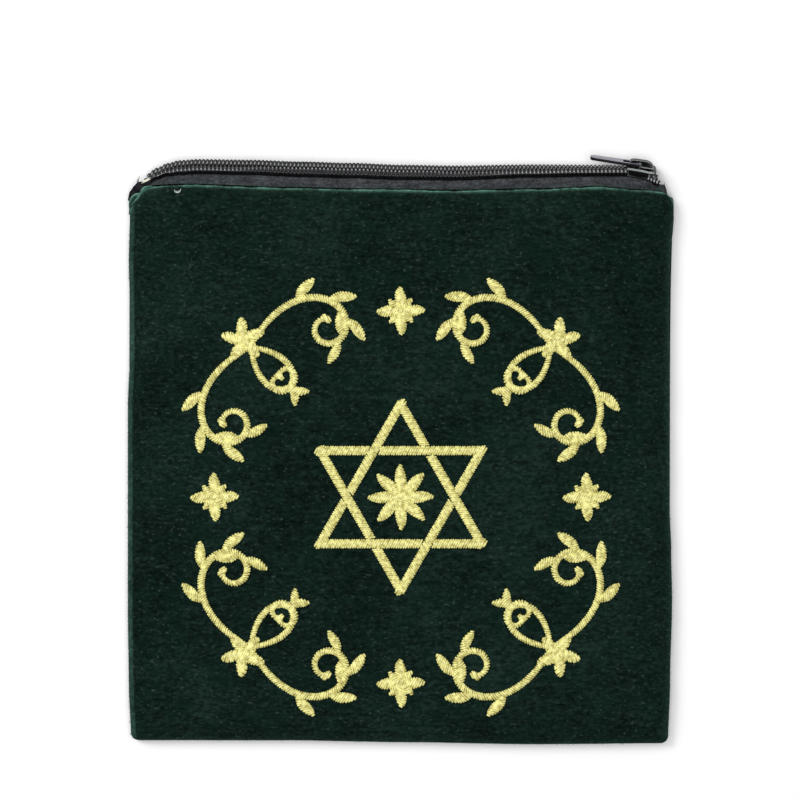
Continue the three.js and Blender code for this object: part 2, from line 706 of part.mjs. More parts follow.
function petals(count, radius, width, turn = 0) {
  const rays = [];
  for (let k = 0; k < count; k += 1) {
    rays.push(raised_stroke({ x: 0, y: 0, start: turn + (360 * k) / count, length: radius, steps: 3 },
      'leaf', width));
  }
  return [...rays, raised_dot(0, 0, width * 0.42, 8)].reduce((sum, next) => sum.add(next));
}

// Two triangles of even bars, one turned over the other.
function star() {
  const triangle = (radius, turn) => [0, 120, 240].map((step) => {
    const angle = radians(turn + step);
    return new THREE.Vector2(Math.cos(angle) * radius, Math.sin(angle) * radius);
  });
  const frames = [90, 270].map((turn) => {
    const shape = new THREE.Shape(triangle(star_radius + star_bar, turn));
    shape.holes.push(new THREE.Path(triangle(star_radius - star_bar, turn).reverse()));
    return raised(shape);
  });
  return frames[0].add(frames[1]);
}

// Lays a flat raised figure on the curved front, one clearance above it.
function laid_on_front(figure, x, y, turn_x = 1, turn_y = 1) {
  const geometry = shell(figure);
  const position = geometry.attributes.position;
  for (let k = 0; k < position.count; k += 1) {
    const px = x + turn_x * position.getX(k);
    const py = y + turn_y * position.getY(k);
    position.setXYZ(k, px, py, front_height(px, py) + clearance + position.getZ(k));
  }
  if (turn_x * turn_y < 0) {
    const index = geometry.index;
    for (let k = 0; k < index.count; k += 3) {
      const second = index.getX(k + 1);
      index.setX(k + 1, index.getX(k + 2));
      index.setX(k + 2, second);
    }
  }
  return geometry;
}

function mesh(name, geometry, material) {
  const node = new THREE.Mesh(geometry, material);
  node.name = name;
  return node;
}

const bag = new THREE.Group();
bag.add(mesh('front_panel', front_panel(), velvet));
bag.add(mesh('back_panel', back_panel(), velvet));
bag.add(mesh('zip_tape_front', zip_tape_front(), tape_cloth));
bag.add(mesh('zip_tape_back', zip_tape_back(), tape_cloth));
bag.add(mesh('zip_coil_front', zip_coil(-1), coil_nylon));
bag.add(mesh('zip_coil_back', zip_coil(1), coil_nylon));

const slider = new THREE.Group();
const slider_place = chain_at(slider_x);
slider.position.set(slider_x, slider_place.y, slider_place.z);
slider.rotation.set(-radians(slider_tilt), 0, -radians(slider_turn), 'ZXY');
slider.add(mesh('slider_body', slider_body(), black_enamel));
const pull = mesh('pull_tab', pull_tab(), black_enamel);
pull.position.set(pivot_offset, 0, pivot_height);
pull.rotation.y = radians(pull_rest_angle);
slider.add(pull);
bag.add(slider);

const corner_spray = spray();
const corners = { lower_left: [1, 1], lower_right: [-1, 1], upper_left: [1, -1], upper_right: [-1, -1] };
for (const [place, [sx, sy]] of Object.entries(corners)) {
  const geometry = laid_on_front(corner_spray, -sx * ornament_half, ornament_centre_height - sy * ornament_half, sx, sy);
  bag.add(mesh(`spray_${place}`, geometry, gold_thread));
}
bag.add(mesh('star', laid_on_front(star(), 0, ornament_centre_height), gold_thread));
bag.add(mesh('rosette', laid_on_front(petals(8, rosette_radius, petal_width), 0, ornament_centre_height), gold_thread));
const floret = petals(4, floret_radius, petal_width, 0).add(petals(4, floret_radius * 0.68, petal_width * 0.6, 45));
const floret_places = { top: [0, 1], bottom: [0, -1], left: [-1, 0], right: [1, 0] };
for (const [place, [ux, uy]] of Object.entries(floret_places)) {
  const reach = ornament_half * 0.925;
  bag.add(mesh(`floret_${place}`,
    laid_on_front(floret, ux * reach, ornament_centre_height + uy * reach), gold_thread));
}

// The origin is under the middle of the bag's box, on the table.
bag.updateMatrixWorld(true);
const extent = new THREE.Box3().setFromObject(bag, true);
const centre = extent.getCenter(new THREE.Vector3());
const placed = new THREE.Group();
bag.position.set(-centre.x, -centre.y, -extent.min.z);
placed.add(bag);
placed.updateMatrixWorld(true);

export default placed;
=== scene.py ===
"""Velvet tallit bag lying on a white table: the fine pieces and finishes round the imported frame."""
import math
import random

import bmesh
import bpy
import numpy as np
from mathutils import Matrix, Vector, noise


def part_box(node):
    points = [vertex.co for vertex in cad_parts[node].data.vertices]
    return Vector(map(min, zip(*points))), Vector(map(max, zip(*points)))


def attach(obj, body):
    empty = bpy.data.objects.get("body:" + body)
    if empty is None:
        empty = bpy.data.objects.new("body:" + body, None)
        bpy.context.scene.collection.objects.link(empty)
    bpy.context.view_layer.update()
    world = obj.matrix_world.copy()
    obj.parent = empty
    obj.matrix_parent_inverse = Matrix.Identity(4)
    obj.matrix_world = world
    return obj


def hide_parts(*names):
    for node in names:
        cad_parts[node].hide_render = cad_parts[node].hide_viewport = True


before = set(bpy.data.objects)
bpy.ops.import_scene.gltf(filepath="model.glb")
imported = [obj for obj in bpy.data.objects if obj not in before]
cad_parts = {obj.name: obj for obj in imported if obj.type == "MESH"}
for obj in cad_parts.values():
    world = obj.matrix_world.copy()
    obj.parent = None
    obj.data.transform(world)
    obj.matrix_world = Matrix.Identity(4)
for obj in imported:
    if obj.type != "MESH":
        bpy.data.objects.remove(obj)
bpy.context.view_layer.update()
rng = random.Random(7)

# Lengths are millimetres until a finished mesh is scaled to metres.
MM = 0.001

# Bag, as in the frame
BAG_WIDTH = 218.2
VELVET_HEIGHT = 223.2
BAG_DEPTH = 9.8
SEAM_HEIGHT = 2.4
SEAM_LIP = 0.9
SEAM_ALLOWANCE = 1.6
VELVET_WALL = 1.8
CLEARANCE = 0.3
SIDE_REACH = 14
EDGE_WAVE = 3.2
DENT_DEPTH = 0.7
HEM_THICKNESS = 2.5
HEM_LENGTH = 9
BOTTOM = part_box("front_panel")[0].y / MM
CORNERS = {"bottom_left": 3, "bottom_right": 3, "top_left": 11, "top_right": 4}

# Zip, as in the frame
CHAIN_HALF = 2.9
COIL_HEIGHT = 2.3
ROW_GAP = 0.3
TOOTH_PITCH = 1.58
CHAIN_REACH = 6.25
CHAIN_END_INSET = 6.2
CHAIN_LEFT = -BAG_WIDTH / 2 + 7.5
CHAIN_RIGHT = BAG_WIDTH / 2 - CHAIN_END_INSET
SLIDER_X = BAG_WIDTH / 2 - 13.7
SLIDER_LENGTH = 12.2
POST_WIDTH = 1.3

# Embroidery, as in the frame
ORNAMENT_Y = BOTTOM + 99
ORNAMENT_HALF = 80
STAR_RADIUS = 37
STAR_BAR = 3.2
STEM_WIDTH = 2.4
SCROLL_WIDTH = 2.1
LEAF_LENGTH = 11
LEAF_WIDTH = 4
ROSETTE_RADIUS = 13
PETAL_WIDTH = 4.4
FLORET_RADIUS = 9.5
BLOSSOM_RADIUS = 9

# How far each edge of the velvet draws in along its length, as shares of EDGE_WAVE
LEFT_EDGE = [(0, 0.4), (0.11, 0.12), (0.25, 0), (0.6, 0), (0.7, 0.25), (0.79, 0.24), (0.86, 0.12),
             (0.94, 0.24), (1, 0.12)]
RIGHT_EDGE = [(0, 0.7), (0.11, 0.44), (0.26, 0.19), (0.34, 0.3), (0.45, 0.56), (0.79, 0.56), (0.88, 0.42),
              (0.955, 0), (1, 0.1)]
BOTTOM_EDGE = [(0, 0.5), (0.3, 0.48), (0.5, 0.25), (0.75, 0), (1, 0.12)]
MOUTH_EDGE = [(0, 0.3), (0.1, 0), (0.3, 0.4), (0.45, 0.6), (0.6, 0.75), (0.75, 0.55), (0.86, 0.3),
              (0.95, 0.7), (1, 1)]
FRONT_DENTS = [  # x, y, reach x, reach y, rise
    (-0.3, 0.8, 0.16, 0.1, -0.8), (0.08, 0.88, 0.2, 0.06, -0.9), (0.36, 0.84, 0.1, 0.12, 0.7),
    (-0.38, 0.45, 0.09, 0.2, -0.6), (0.4, 0.4, 0.08, 0.2, -0.7), (0.05, 0.5, 0.28, 0.2, 0.6),
    (-0.2, 0.12, 0.2, 0.08, -0.7), (0.28, 0.1, 0.14, 0.08, 0.5),
]

# Along the chain: how far it stands beyond the mouth and over the hem, as shares of CHAIN_REACH, and its lean
CHAIN_BEYOND = [(0, 0.22), (0.02, 0.6), (0.042, 0.9), (0.065, 1.08), (0.1, 1.15), (0.2, 1.11), (0.3, 1),
                (0.4, 0.91), (0.5, 0.79), (0.6, 0.74), (0.75, 0.83), (0.85, 0.83), (0.93, 0.8), (1, 0.48)]
CHAIN_LIFT = [(0, 0), (0.6, 0), (0.75, 0.02), (0.85, 0.06), (0.93, 0.11), (1, 0.11)]
CHAIN_TILT = [(0, 42), (0.042, 41), (0.1, 39), (0.2, 36), (0.3, 32), (0.4, 34), (0.5, 36), (0.6, 40),
              (0.75, 52), (0.85, 60), (0.93, 65), (1, 65)]
# How much of the front row's width shows, as it turns under at the zip's left end
FRONT_ROW_WIDTH = [(0, 0.3), (0.026, 0.55), (0.064, 1), (1, 1)]
# Where on a row the painted glint sits on each turn of the coil, as a share from its head to its heel
GLINT_SPOTS = {"front": [(0, 0.95), (0.15, 0.85), (0.3, 0.25), (0.5, 0.25), (0.75, 0.85), (1, 0.9)],
               "back": [(0, 0.3), (0.3, 0.3), (1, 0.3)]}


def column(rows, share):
    """Reads a table at a share, eased between its rows."""
    at = np.array([row[0] for row in rows], float)
    value = np.array([row[1] for row in rows], float)
    share = np.asarray(share, float)
    k = np.clip(np.searchsorted(at, share, side="left") - 1, 0, len(rows) - 2)
    t = np.clip((share - at[k]) / (at[k + 1] - at[k]), 0, 1)
    t = t * t * (3 - 2 * t)
    return value[k] + (value[k + 1] - value[k]) * t


# The bag's shape, as in the frame
def left_at(share):
    return -BAG_WIDTH / 2 + EDGE_WAVE * column(LEFT_EDGE, share)


def right_at(share):
    return BAG_WIDTH / 2 - EDGE_WAVE * column(RIGHT_EDGE, share)


def bottom_at(share):
    return BOTTOM + EDGE_WAVE * column(BOTTOM_EDGE, share)


def mouth_at(share):
    return BOTTOM + VELVET_HEIGHT - EDGE_WAVE * column(MOUTH_EDGE, share)


def width_share(x):
    return np.asarray(x, float) / BAG_WIDTH + 0.5


def height_share(y):
    return np.clip((np.asarray(y, float) - BOTTOM) / VELVET_HEIGHT, 0, 1)


def fullness(distance, reach):
    """A quarter round: zero at a seam, one at its reach."""
    s = 1 - np.clip(distance / reach, 0, 1)
    return np.sqrt(1 - s * s)


def seam_fullness(x, y, inset, reach):
    """How full the pouch is at a point, from its two side seams and its bottom seam."""
    across, up = height_share(y), np.clip(width_share(x), 0, 1)
    return (fullness(x - left_at(across) - inset, reach) * fullness(right_at(across) - x - inset, reach)
            * fullness(y - bottom_at(up) - inset, reach))


def dents(x, y):
    """How far the folds raise or sink the front velvet."""
    rise = 0
    for at_x, at_y, reach_x, reach_y, height in FRONT_DENTS:
        u = (x / BAG_WIDTH - at_x) / reach_x
        v = ((y - BOTTOM) / VELVET_HEIGHT - at_y) / reach_y
        rise = rise + height * np.exp(-u * u - v * v)
    return DENT_DEPTH * rise


FRONT_BASE = SEAM_HEIGHT + CLEARANCE / 2


def front_height(x, y):
    """Height of the front velvet over the table."""
    edge = FRONT_BASE + SEAM_LIP
    return edge + (BAG_DEPTH - edge + dents(x, y)) * seam_fullness(x, y, 0, SIDE_REACH)


def front_inside(x, y, thickness):
    """Height of the front velvet's inner face."""
    full = seam_fullness(x, y, SEAM_ALLOWANCE + VELVET_WALL, SIDE_REACH - VELVET_WALL)
    return FRONT_BASE + np.maximum(0, front_height(x, y) - thickness - FRONT_BASE) * full


def round_corner(x, y):
    """Draws the square corners of a sheet in to arcs."""
    across, up = height_share(y), np.clip(width_share(x), 0, 1)
    for name, radius in CORNERS.items():
        end, side = name.split("_")
        from_side = x - left_at(across) if side == "left" else right_at(across) - x
        from_end = y - bottom_at(up) if end == "bottom" else mouth_at(up) - y
        a = np.clip(1 - from_side / radius, 0, 1)
        b = np.clip(1 - from_end / radius, 0, 1)
        x = x + radius * a * (1 - np.sqrt(1 - b * b / 2)) * (1 if side == "left" else -1)
        y = y + radius * b * (1 - np.sqrt(1 - a * a / 2)) * (1 if end == "bottom" else -1)
    return x, y


def hem_underside(x):
    """Height of the folded hem's lower face, which the tape is sewn to."""
    return front_inside(x, mouth_at(width_share(x)) - HEM_THICKNESS, HEM_THICKNESS)


def chain_at(x):
    """The chain's middle line at x: its place, and the directions across it and out of its face."""
    share = (x - CHAIN_LEFT) / (CHAIN_RIGHT - CHAIN_LEFT)
    tilt = math.radians(float(column(CHAIN_TILT, share)))
    past_end = min(max((x - SLIDER_X - SLIDER_LENGTH / 2) / (CHAIN_END_INSET * 0.6), 0), 1)
    beyond = float(column(CHAIN_BEYOND, share)) * (1 - 0.75 * past_end)
    level = SLIDER_X if x > SLIDER_X - SLIDER_LENGTH else x
    lift = CHAIN_REACH * float(column(CHAIN_LIFT, share))
    z = float(hem_underside(level)) - CLEARANCE + lift - CHAIN_HALF * math.sin(tilt)
    place = Vector((x, BOTTOM + VELVET_HEIGHT + CHAIN_REACH * beyond, z))
    return place, Vector((0, math.cos(tilt), -math.sin(tilt))), Vector((0, math.sin(tilt), math.cos(tilt)))


def on_chain(x, across, out):
    """A point so far across the chain and so far out of its face."""
    place, t, n = chain_at(x)
    return place + across * t + out * n


def row_width(side, x):
    """How far a row of coil reaches from the parting to its heel."""
    share = (x - CHAIN_LEFT) / (CHAIN_RIGHT - CHAIN_LEFT)
    return (CHAIN_HALF - ROW_GAP / 2) * (float(column(FRONT_ROW_WIDTH, share)) if side == "front" else 1)


def parting(x):
    """How far a row stands from the chain's middle: closed behind the slider, parted by its post ahead."""
    ahead = min(max((x - SLIDER_X + 1) / (SLIDER_LENGTH / 2), 0), 1)
    return ROW_GAP / 2 + (POST_WIDTH / 2 + CLEARANCE - ROW_GAP / 2) * ahead


def wander(x, y, waves):
    """Uneven height by noise: each wave has its rate along x, its rate along y, its seed and its height."""
    return np.array([sum(height * noise.noise(Vector((a * along, b * up, seed)))
                         for along, up, seed, height in waves) for a, b in zip(x, y)])


# Making pieces
def shown(name, data):
    obj = bpy.data.objects.new(name, data)
    bpy.context.scene.collection.objects.link(obj)
    return obj


def piece(name, mesh, material, body, stands_for=()):
    """A finished mesh in metres becomes a piece of the bag."""
    for polygon in mesh.polygons:
        polygon.use_smooth = True
    obj = shown(name, mesh)
    mesh.materials.clear()
    mesh.materials.append(material)
    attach(obj, body)
    if stands_for:
        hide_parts(*stands_for)
    return obj


def mesh_of(name, bm):
    mesh = bpy.data.meshes.new(name)
    bm.to_mesh(mesh)
    bm.free()
    return mesh


def rows_of(mesh, what="co"):
    """A mesh's points or normals, one row each."""
    values = np.empty(len(mesh.vertices) * 3)
    mesh.vertices.foreach_get(what, values)
    return values.reshape(-1, 3)


def note(mesh, name, values):
    """Stores a value for each point, which a material reads by its name."""
    values = np.broadcast_to(values, len(mesh.vertices)).astype(float)
    mesh.attributes.new(name, "FLOAT", "POINT").data.foreach_set("value", values)


def scaled(mesh):
    """Takes a mesh from millimetres to metres."""
    mesh.transform(Matrix.Diagonal((MM, MM, MM, 1)))
    return mesh


def walled(obj, thickness):
    """Gives a sheet its thickness, in millimetres."""
    wall = obj.modifiers.new("wall", "SOLIDIFY")
    wall.thickness = thickness * MM
    return obj


def sheet_mesh(name, columns, rows, shape):
    """A grid whose points a function moves: shape(u, v) gives x, y and z in millimetres."""
    bm = bmesh.new()
    bmesh.ops.create_grid(bm, x_segments=columns, y_segments=rows, size=0.5)
    mesh = mesh_of(name, bm)
    flat = rows_of(mesh)
    x, y, z = shape(flat[:, 0] + 0.5, flat[:, 1] + 0.5)
    mesh.vertices.foreach_set("co", np.stack([x, y, z], 1).ravel() * MM)
    mesh.update()
    return mesh


def patch(name, rows, columns, steps):
    """A small cloth between two polylines, given as rows of points from one edge to the other."""
    rows = np.array(rows, float)

    def shape(u, v):
        a = v * (len(rows) - 1)
        i = np.minimum(a.astype(int), len(rows) - 2)
        b = u * (rows.shape[1] - 1)
        j = np.minimum(b.astype(int), rows.shape[1] - 2)
        a, b = (a - i)[:, None], (b - j)[:, None]
        near = rows[i, j] * (1 - b) + rows[i, j + 1] * b
        far = rows[i + 1, j] * (1 - b) + rows[i + 1, j + 1] * b
        return (near * (1 - a) + far * a).T

    return sheet_mesh(name, columns, steps, shape)


MERGE_DISTANCE = 0.01 * MM


def node_copy(node):
    """A CAD node's mesh with its loose triangles merged and its flat faces joined."""
    bm = bmesh.new()
    bm.from_mesh(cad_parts[node].data)
    bmesh.ops.remove_doubles(bm, verts=bm.verts, dist=MERGE_DISTANCE)
    bmesh.ops.join_triangles(bm, faces=bm.faces, angle_face_threshold=math.pi, angle_shape_threshold=math.pi)
    return bm


def softened(node, name, material, levels):
    """A cloth node's own form, smoothed."""
    obj = piece(name, mesh_of(name, node_copy(node)), material, "bag", [node])
    smooth = obj.modifiers.new("smooth", "SUBSURF")
    smooth.levels = smooth.render_levels = levels
    return obj


def eased(route, steps):
    """A smooth line through a few points of any width."""
    route = np.array(route, float)
    padded = np.vstack([2 * route[0] - route[1], route, 2 * route[-1] - route[-2]])
    line = []
    for k in range(1, len(padded) - 2):
        a, b, c, d = padded[k - 1:k + 3]
        for i in range(steps):
            t = i / steps
            line.append(0.5 * (2 * b + (c - a) * t + (2 * a - 5 * b + 4 * c - d) * t * t
                               + (3 * b - a - 3 * c + d) * t ** 3))
    return [tuple(point) for point in [*line, route[-1]]]


def wires(name, lines, radius, sides=0, caps=True):
    """Round wires along lists of points, each with an optional thickness, as one mesh in millimetres."""
    curve = bpy.data.curves.new(name, "CURVE")
    curve.dimensions = "3D"
    curve.bevel_depth = radius
    curve.bevel_resolution = sides
    curve.use_fill_caps = caps
    for line in lines:
        spline = curve.splines.new("POLY")
        spline.points.add(len(line) - 1)
        for point, place in zip(spline.points, line):
            point.co = (*place[:3], 1)
            point.radius = place[3] if len(place) > 3 else 1
    holder = shown(name, curve)
    bpy.context.view_layer.update()
    graph = bpy.context.evaluated_depsgraph_get()
    mesh = bpy.data.meshes.new_from_object(holder.evaluated_get(graph))
    bpy.data.objects.remove(holder)
    bpy.data.curves.remove(curve)
    return mesh


def wire_piece(name, lines, radius, material, sides=0):
    """Round wires along lines given in millimetres, as one piece of the bag."""
    return piece(name, scaled(wires(name, lines, radius, sides)), material, "bag")


# Materials
def new_material(name):
    """A material, its node tree and its Principled shader."""
    material = bpy.data.materials.new(name)
    material.use_nodes = True
    return material, material.node_tree, material.node_tree.nodes["Principled BSDF"]


def new_group(name, inputs, outputs):
    """A node group, its named inputs, each with a plain number or colour to start from, and its outputs."""
    group = bpy.data.node_groups.new(name, "ShaderNodeTree")
    for label, value in inputs.items():
        kind = "NodeSocketColor" if isinstance(value, tuple) else "NodeSocketFloat"
        socket = group.interface.new_socket(label, in_out="INPUT", socket_type=kind)
        socket.default_value = (*value, 1) if isinstance(value, tuple) else value
    for label, kind in outputs.items():
        group.interface.new_socket(label, in_out="OUTPUT", socket_type=kind)
    given = group.nodes.new("NodeGroupInput").outputs
    return group, given, group.nodes.new("NodeGroupOutput").inputs


def placed_group(tree, group, values):
    """Puts a group into a material with the material's own values."""
    node = tree.nodes.new("ShaderNodeGroup")
    node.node_tree = group
    for label, value in values.items():
        node.inputs[label].default_value = (*value, 1) if isinstance(value, tuple) else value
    return node.outputs


def feed(tree, socket, value):
    """Links a socket, or sets it to a number, a direction or a colour."""
    if isinstance(value, bpy.types.NodeSocket):
        tree.links.new(value, socket)
    elif isinstance(value, tuple) and socket.type == "RGBA":
        socket.default_value = (*value, 1)
    else:
        socket.default_value = value


def math_node(tree, operation, a, b):
    node = tree.nodes.new("ShaderNodeMath")
    node.operation = operation
    feed(tree, node.inputs[0], a)
    feed(tree, node.inputs[1], b)
    return node.outputs[0]


def noise_node(tree, vector, scale, detail=3.0):
    node = tree.nodes.new("ShaderNodeTexNoise")
    node.inputs["Detail"].default_value = detail
    feed(tree, node.inputs["Vector"], vector)
    feed(tree, node.inputs["Scale"], scale)
    return node.outputs["Fac"]


def coordinates(tree, kind="Object"):
    return tree.nodes.new("ShaderNodeTexCoord").outputs[kind]


def drawn_out(tree, vector, along):
    """Coordinates in which a pattern is longer along X."""
    node = tree.nodes.new("ShaderNodeMapping")
    node.inputs["Scale"].default_value = (along, 1, 1)
    feed(tree, node.inputs["Vector"], vector)
    return node.outputs["Vector"]


def between(tree, value, low, high, first=0.0, last=1.0):
    """Goes from first to last as a value goes from low to high."""
    share = tree.nodes.new("ShaderNodeMapRange")
    feed(tree, share.inputs["Value"], value)
    feed(tree, share.inputs["From Min"], low)
    feed(tree, share.inputs["From Max"], high)
    feed(tree, share.inputs["To Min"], first)
    feed(tree, share.inputs["To Max"], last)
    return share.outputs["Result"]


def blend(tree, share, first, second):
    """Goes from one colour to another."""
    mix = tree.nodes.new("ShaderNodeMix")
    mix.data_type = "RGBA"
    feed(tree, mix.inputs["Factor"], share)
    feed(tree, mix.inputs["A"], first)
    feed(tree, mix.inputs["B"], second)
    return mix.outputs["Result"]


def ramp(tree, value, stops):
    """Colours by a value, from a list of places and colours."""
    node = tree.nodes.new("ShaderNodeValToRGB")
    elements = node.color_ramp.elements
    while len(elements) < len(stops):
        elements.new(0.5)
    for element, (at, colour) in zip(elements, stops):
        element.position = at
        element.color = (*colour, 1)
    tree.links.new(value, node.inputs["Fac"])
    return node.outputs["Color"]


def marked(tree, name):
    """A value that note() stored on the mesh."""
    mark = tree.nodes.new("ShaderNodeAttribute")
    mark.attribute_name = name
    return mark.outputs["Fac"]


def lean_towards(tree, normal, direction):
    """One where a normal points along a direction, given as three numbers or a socket."""
    dot = tree.nodes.new("ShaderNodeVectorMath")
    dot.operation = "DOT_PRODUCT"
    feed(tree, dot.inputs[0], normal)
    feed(tree, dot.inputs[1], direction)
    return dot.outputs["Value"]


# Effects that several materials share
STREAK_STRETCH = 0.22
GRAIN_STRETCH = 0.6


def cloth_grain():
    """Mottling, streaks along X and fine grain, as one mask about 0.5 and one height."""
    tree, given, out = new_group(
        "cloth_grain", {"Patch Scale": 25.0, "Streak Scale": 400.0, "Grain Scale": 1500.0},
        {"Mask": "NodeSocketFloat", "Height": "NodeSocketFloat"})
    place = coordinates(tree)
    patches = noise_node(tree, place, given["Patch Scale"])
    streaks = noise_node(tree, drawn_out(tree, place, STREAK_STRETCH), given["Streak Scale"])
    grain = noise_node(tree, drawn_out(tree, place, GRAIN_STRETCH), given["Grain Scale"], 2.0)

    def part(value, share):
        return math_node(tree, "MULTIPLY", value, share)

    broad = math_node(tree, "ADD", part(patches, 0.26), part(streaks, 0.24))
    tree.links.new(math_node(tree, "ADD", broad, part(grain, 0.5)), out["Mask"])
    tree.links.new(math_node(tree, "ADD", part(grain, 0.6), part(streaks, 0.4)), out["Height"])
    return tree


def thread_shades():
    """A thread's colour, which wanders between a deep and a pale shade."""
    tree, given, out = new_group(
        "thread_shades", {"Scale": 700.0, "Deep": (0.2, 0.2, 0.2), "Pale": (0.8, 0.8, 0.8)},
        {"Colour": "NodeSocketColor"})
    wander = noise_node(tree, coordinates(tree), given["Scale"])
    share = between(tree, wander, 0.3, 0.62)
    tree.links.new(blend(tree, share, given["Deep"], given["Pale"]), out["Colour"])
    return tree


def smears():
    """The roughness of a hard surface that handling has made uneven."""
    tree, given, out = new_group(
        "smears", {"Scale": 900.0, "Smoothest": 0.2, "Roughest": 0.4}, {"Roughness": "NodeSocketFloat"})
    wander = noise_node(tree, coordinates(tree), given["Scale"])
    uneven = between(tree, wander, 0.0, 1.0, given["Smoothest"], given["Roughest"])
    tree.links.new(uneven, out["Roughness"])
    return tree


GRAIN = cloth_grain()
SHADES = thread_shades()
SMEARS = smears()


# Cloth finishes
GRAIN_DEPTH = 0.4


def cloth(name, stops, scales, roughness, sheen, tint, sheen_roughness=0.3, tone_and_painted_light=None):
    """A cloth: grain colours, bump, and a sheen that lights its grazing edges. tone_and_painted_light() works
    on the colour, and may paint light into it.
    """
    material, tree, shader = new_material(name)
    labels = ("Patch Scale", "Streak Scale", "Grain Scale")
    grain = placed_group(tree, GRAIN, dict(zip(labels, scales)))
    colour = ramp(tree, grain["Mask"], stops)
    if tone_and_painted_light:
        colour = tone_and_painted_light(tree, colour)
    tree.links.new(colour, shader.inputs["Base Color"])
    bumps = tree.nodes.new("ShaderNodeBump")
    bumps.inputs["Strength"].default_value = 0.8
    bumps.inputs["Distance"].default_value = GRAIN_DEPTH * MM
    tree.links.new(grain["Height"], bumps.inputs["Height"])
    tree.links.new(bumps.outputs["Normal"], shader.inputs["Normal"])
    shader.inputs["Roughness"].default_value = roughness
    shader.inputs["Specular IOR Level"].default_value = 0.02
    shader.inputs["Sheen Weight"].default_value = sheen
    shader.inputs["Sheen Roughness"].default_value = sheen_roughness
    shader.inputs["Sheen Tint"].default_value = (*tint, 1)
    return material


PILE_BRUSHED = (0.0035, 0.0165, 0.0115)
PILE_SPECK = (0.045, 0.065, 0.058)
PILE_SHEEN = (0.16, 0.37, 0.28)


def pile_tones_and_painted_sheen(tree, colour):
    """Greener patches where the pile is brushed, pale tips, and a painted sheen highlight along the rolled
    edges.
    """
    place = coordinates(tree)
    brushed = between(tree, noise_node(tree, place, 95.0), 0.44, 0.62)
    colour = blend(tree, math_node(tree, "MULTIPLY", brushed, 0.3), colour, PILE_BRUSHED)
    tips = noise_node(tree, drawn_out(tree, place, GRAIN_STRETCH), 1000.0, 1.0)
    specks = between(tree, tips, 0.64, 0.76)
    colour = blend(tree, math_node(tree, "MULTIPLY", specks, 0.5), colour, PILE_SPECK)
    # Painted sheen highlight: paler pile along the rolled edges, in uneven nubs.
    nubs = math_node(tree, "MULTIPLY", noise_node(tree, place, 620.0), 2.0)
    return blend(tree, math_node(tree, "MULTIPLY", marked(tree, "painted_sheen"), nubs), colour, PILE_SHEEN)


TAPE_SCALES = (140.0, 900.0, 1500.0)
TAPE_TINT = (0.8, 0.85, 0.9)
# The velvet's grain, brushed patches and pale tips are its own; the pale rolled edges are painted sheen.
VELVET = cloth("green_velvet", [(0.36, (0.0015, 0.0042, 0.003)), (0.5, (0.0046, 0.0112, 0.0083)),
                                (0.66, (0.012, 0.027, 0.021))],
               scales=(30.0, 500.0, 850.0), roughness=0.9, sheen=0.1, tint=(0.15, 0.7, 0.48),
               sheen_roughness=0.25, tone_and_painted_light=pile_tones_and_painted_sheen)
TAPE = cloth("woven_tape", [(0.36, (0.018, 0.019, 0.021)), (0.5, (0.04, 0.043, 0.047)),
                            (0.66, (0.085, 0.092, 0.1))],
             TAPE_SCALES, roughness=0.8, sheen=0.1, tint=TAPE_TINT)
# The tape again in darker colours: painted shade for the folded left end, which lies in shadow.
SHADED_TAPE = cloth("tape_painted_shade", [(0.36, (0.005, 0.004, 0.006)), (0.5, (0.013, 0.012, 0.015)),
                                    (0.66, (0.04, 0.038, 0.043))],
                    TAPE_SCALES, roughness=0.8, sheen=0.05, tint=TAPE_TINT)


# Hard finishes
def gloss(name, finish, roughness, coat, specular=0.5):
    material, tree, shader = new_material(name)
    uneven = placed_group(tree, SMEARS, {"Smoothest": roughness * 0.75, "Roughest": roughness * 1.35})
    tree.links.new(uneven["Roughness"], shader.inputs["Roughness"])
    tree.links.new(finish(tree), shader.inputs["Base Color"])
    shader.inputs["Specular IOR Level"].default_value = specular
    shader.inputs["Coat Weight"].default_value = coat
    shader.inputs["Coat Roughness"].default_value = 0.08
    return material


def nylon_with_painted_glints(tree):
    """Black nylon with a painted glint, a pale spot, on top of each turn."""
    return blend(tree, marked(tree, "painted_glint"), (0.008, 0.008, 0.01), (0.5, 0.52, 0.53))


EDGE_HIGHLIGHT_RADIUS = 0.42
HIGHLIGHT_FACING = (0, 0.05, 1)


def enamel_painted_edge_highlights(tree):
    """Black enamel with a painted highlight, pale grey, along the sharp edges that face up, and plain black
    on flat faces.
    """
    rounded = tree.nodes.new("ShaderNodeBevel")
    rounded.samples = 6
    rounded.inputs["Radius"].default_value = EDGE_HIGHLIGHT_RADIUS * MM
    facing = tree.nodes.new("ShaderNodeNewGeometry")
    own = tree.nodes.new("ShaderNodeVectorTransform")
    own.vector_type = "NORMAL"
    own.convert_from = "WORLD"
    own.convert_to = "OBJECT"
    tree.links.new(rounded.outputs["Normal"], own.inputs["Vector"])
    bend = lean_towards(tree, rounded.outputs["Normal"], facing.outputs["True Normal"])
    lean = lean_towards(tree, own.outputs["Vector"], HIGHLIGHT_FACING)
    tone_and_painted_light = math_node(tree, "MULTIPLY", between(tree, bend, 0.985, 0.9), between(tree, lean, 0.64, 0.84))
    return blend(tree, tone_and_painted_light, (0.001, 0.001, 0.0012), (0.55, 0.61, 0.58))


TAB_REFLECTING_FACE = (0.154, 0.888, 0.42)


def tab_with_painted_reflection(tree):
    """Black enamel with a painted reflection: grey on the pull tab's broad outer face."""
    lean = lean_towards(tree, coordinates(tree, "Normal"), TAB_REFLECTING_FACE)
    return blend(tree, between(tree, lean, 0.9, 0.97), (0.002, 0.002, 0.0025), (0.22, 0.22, 0.27))


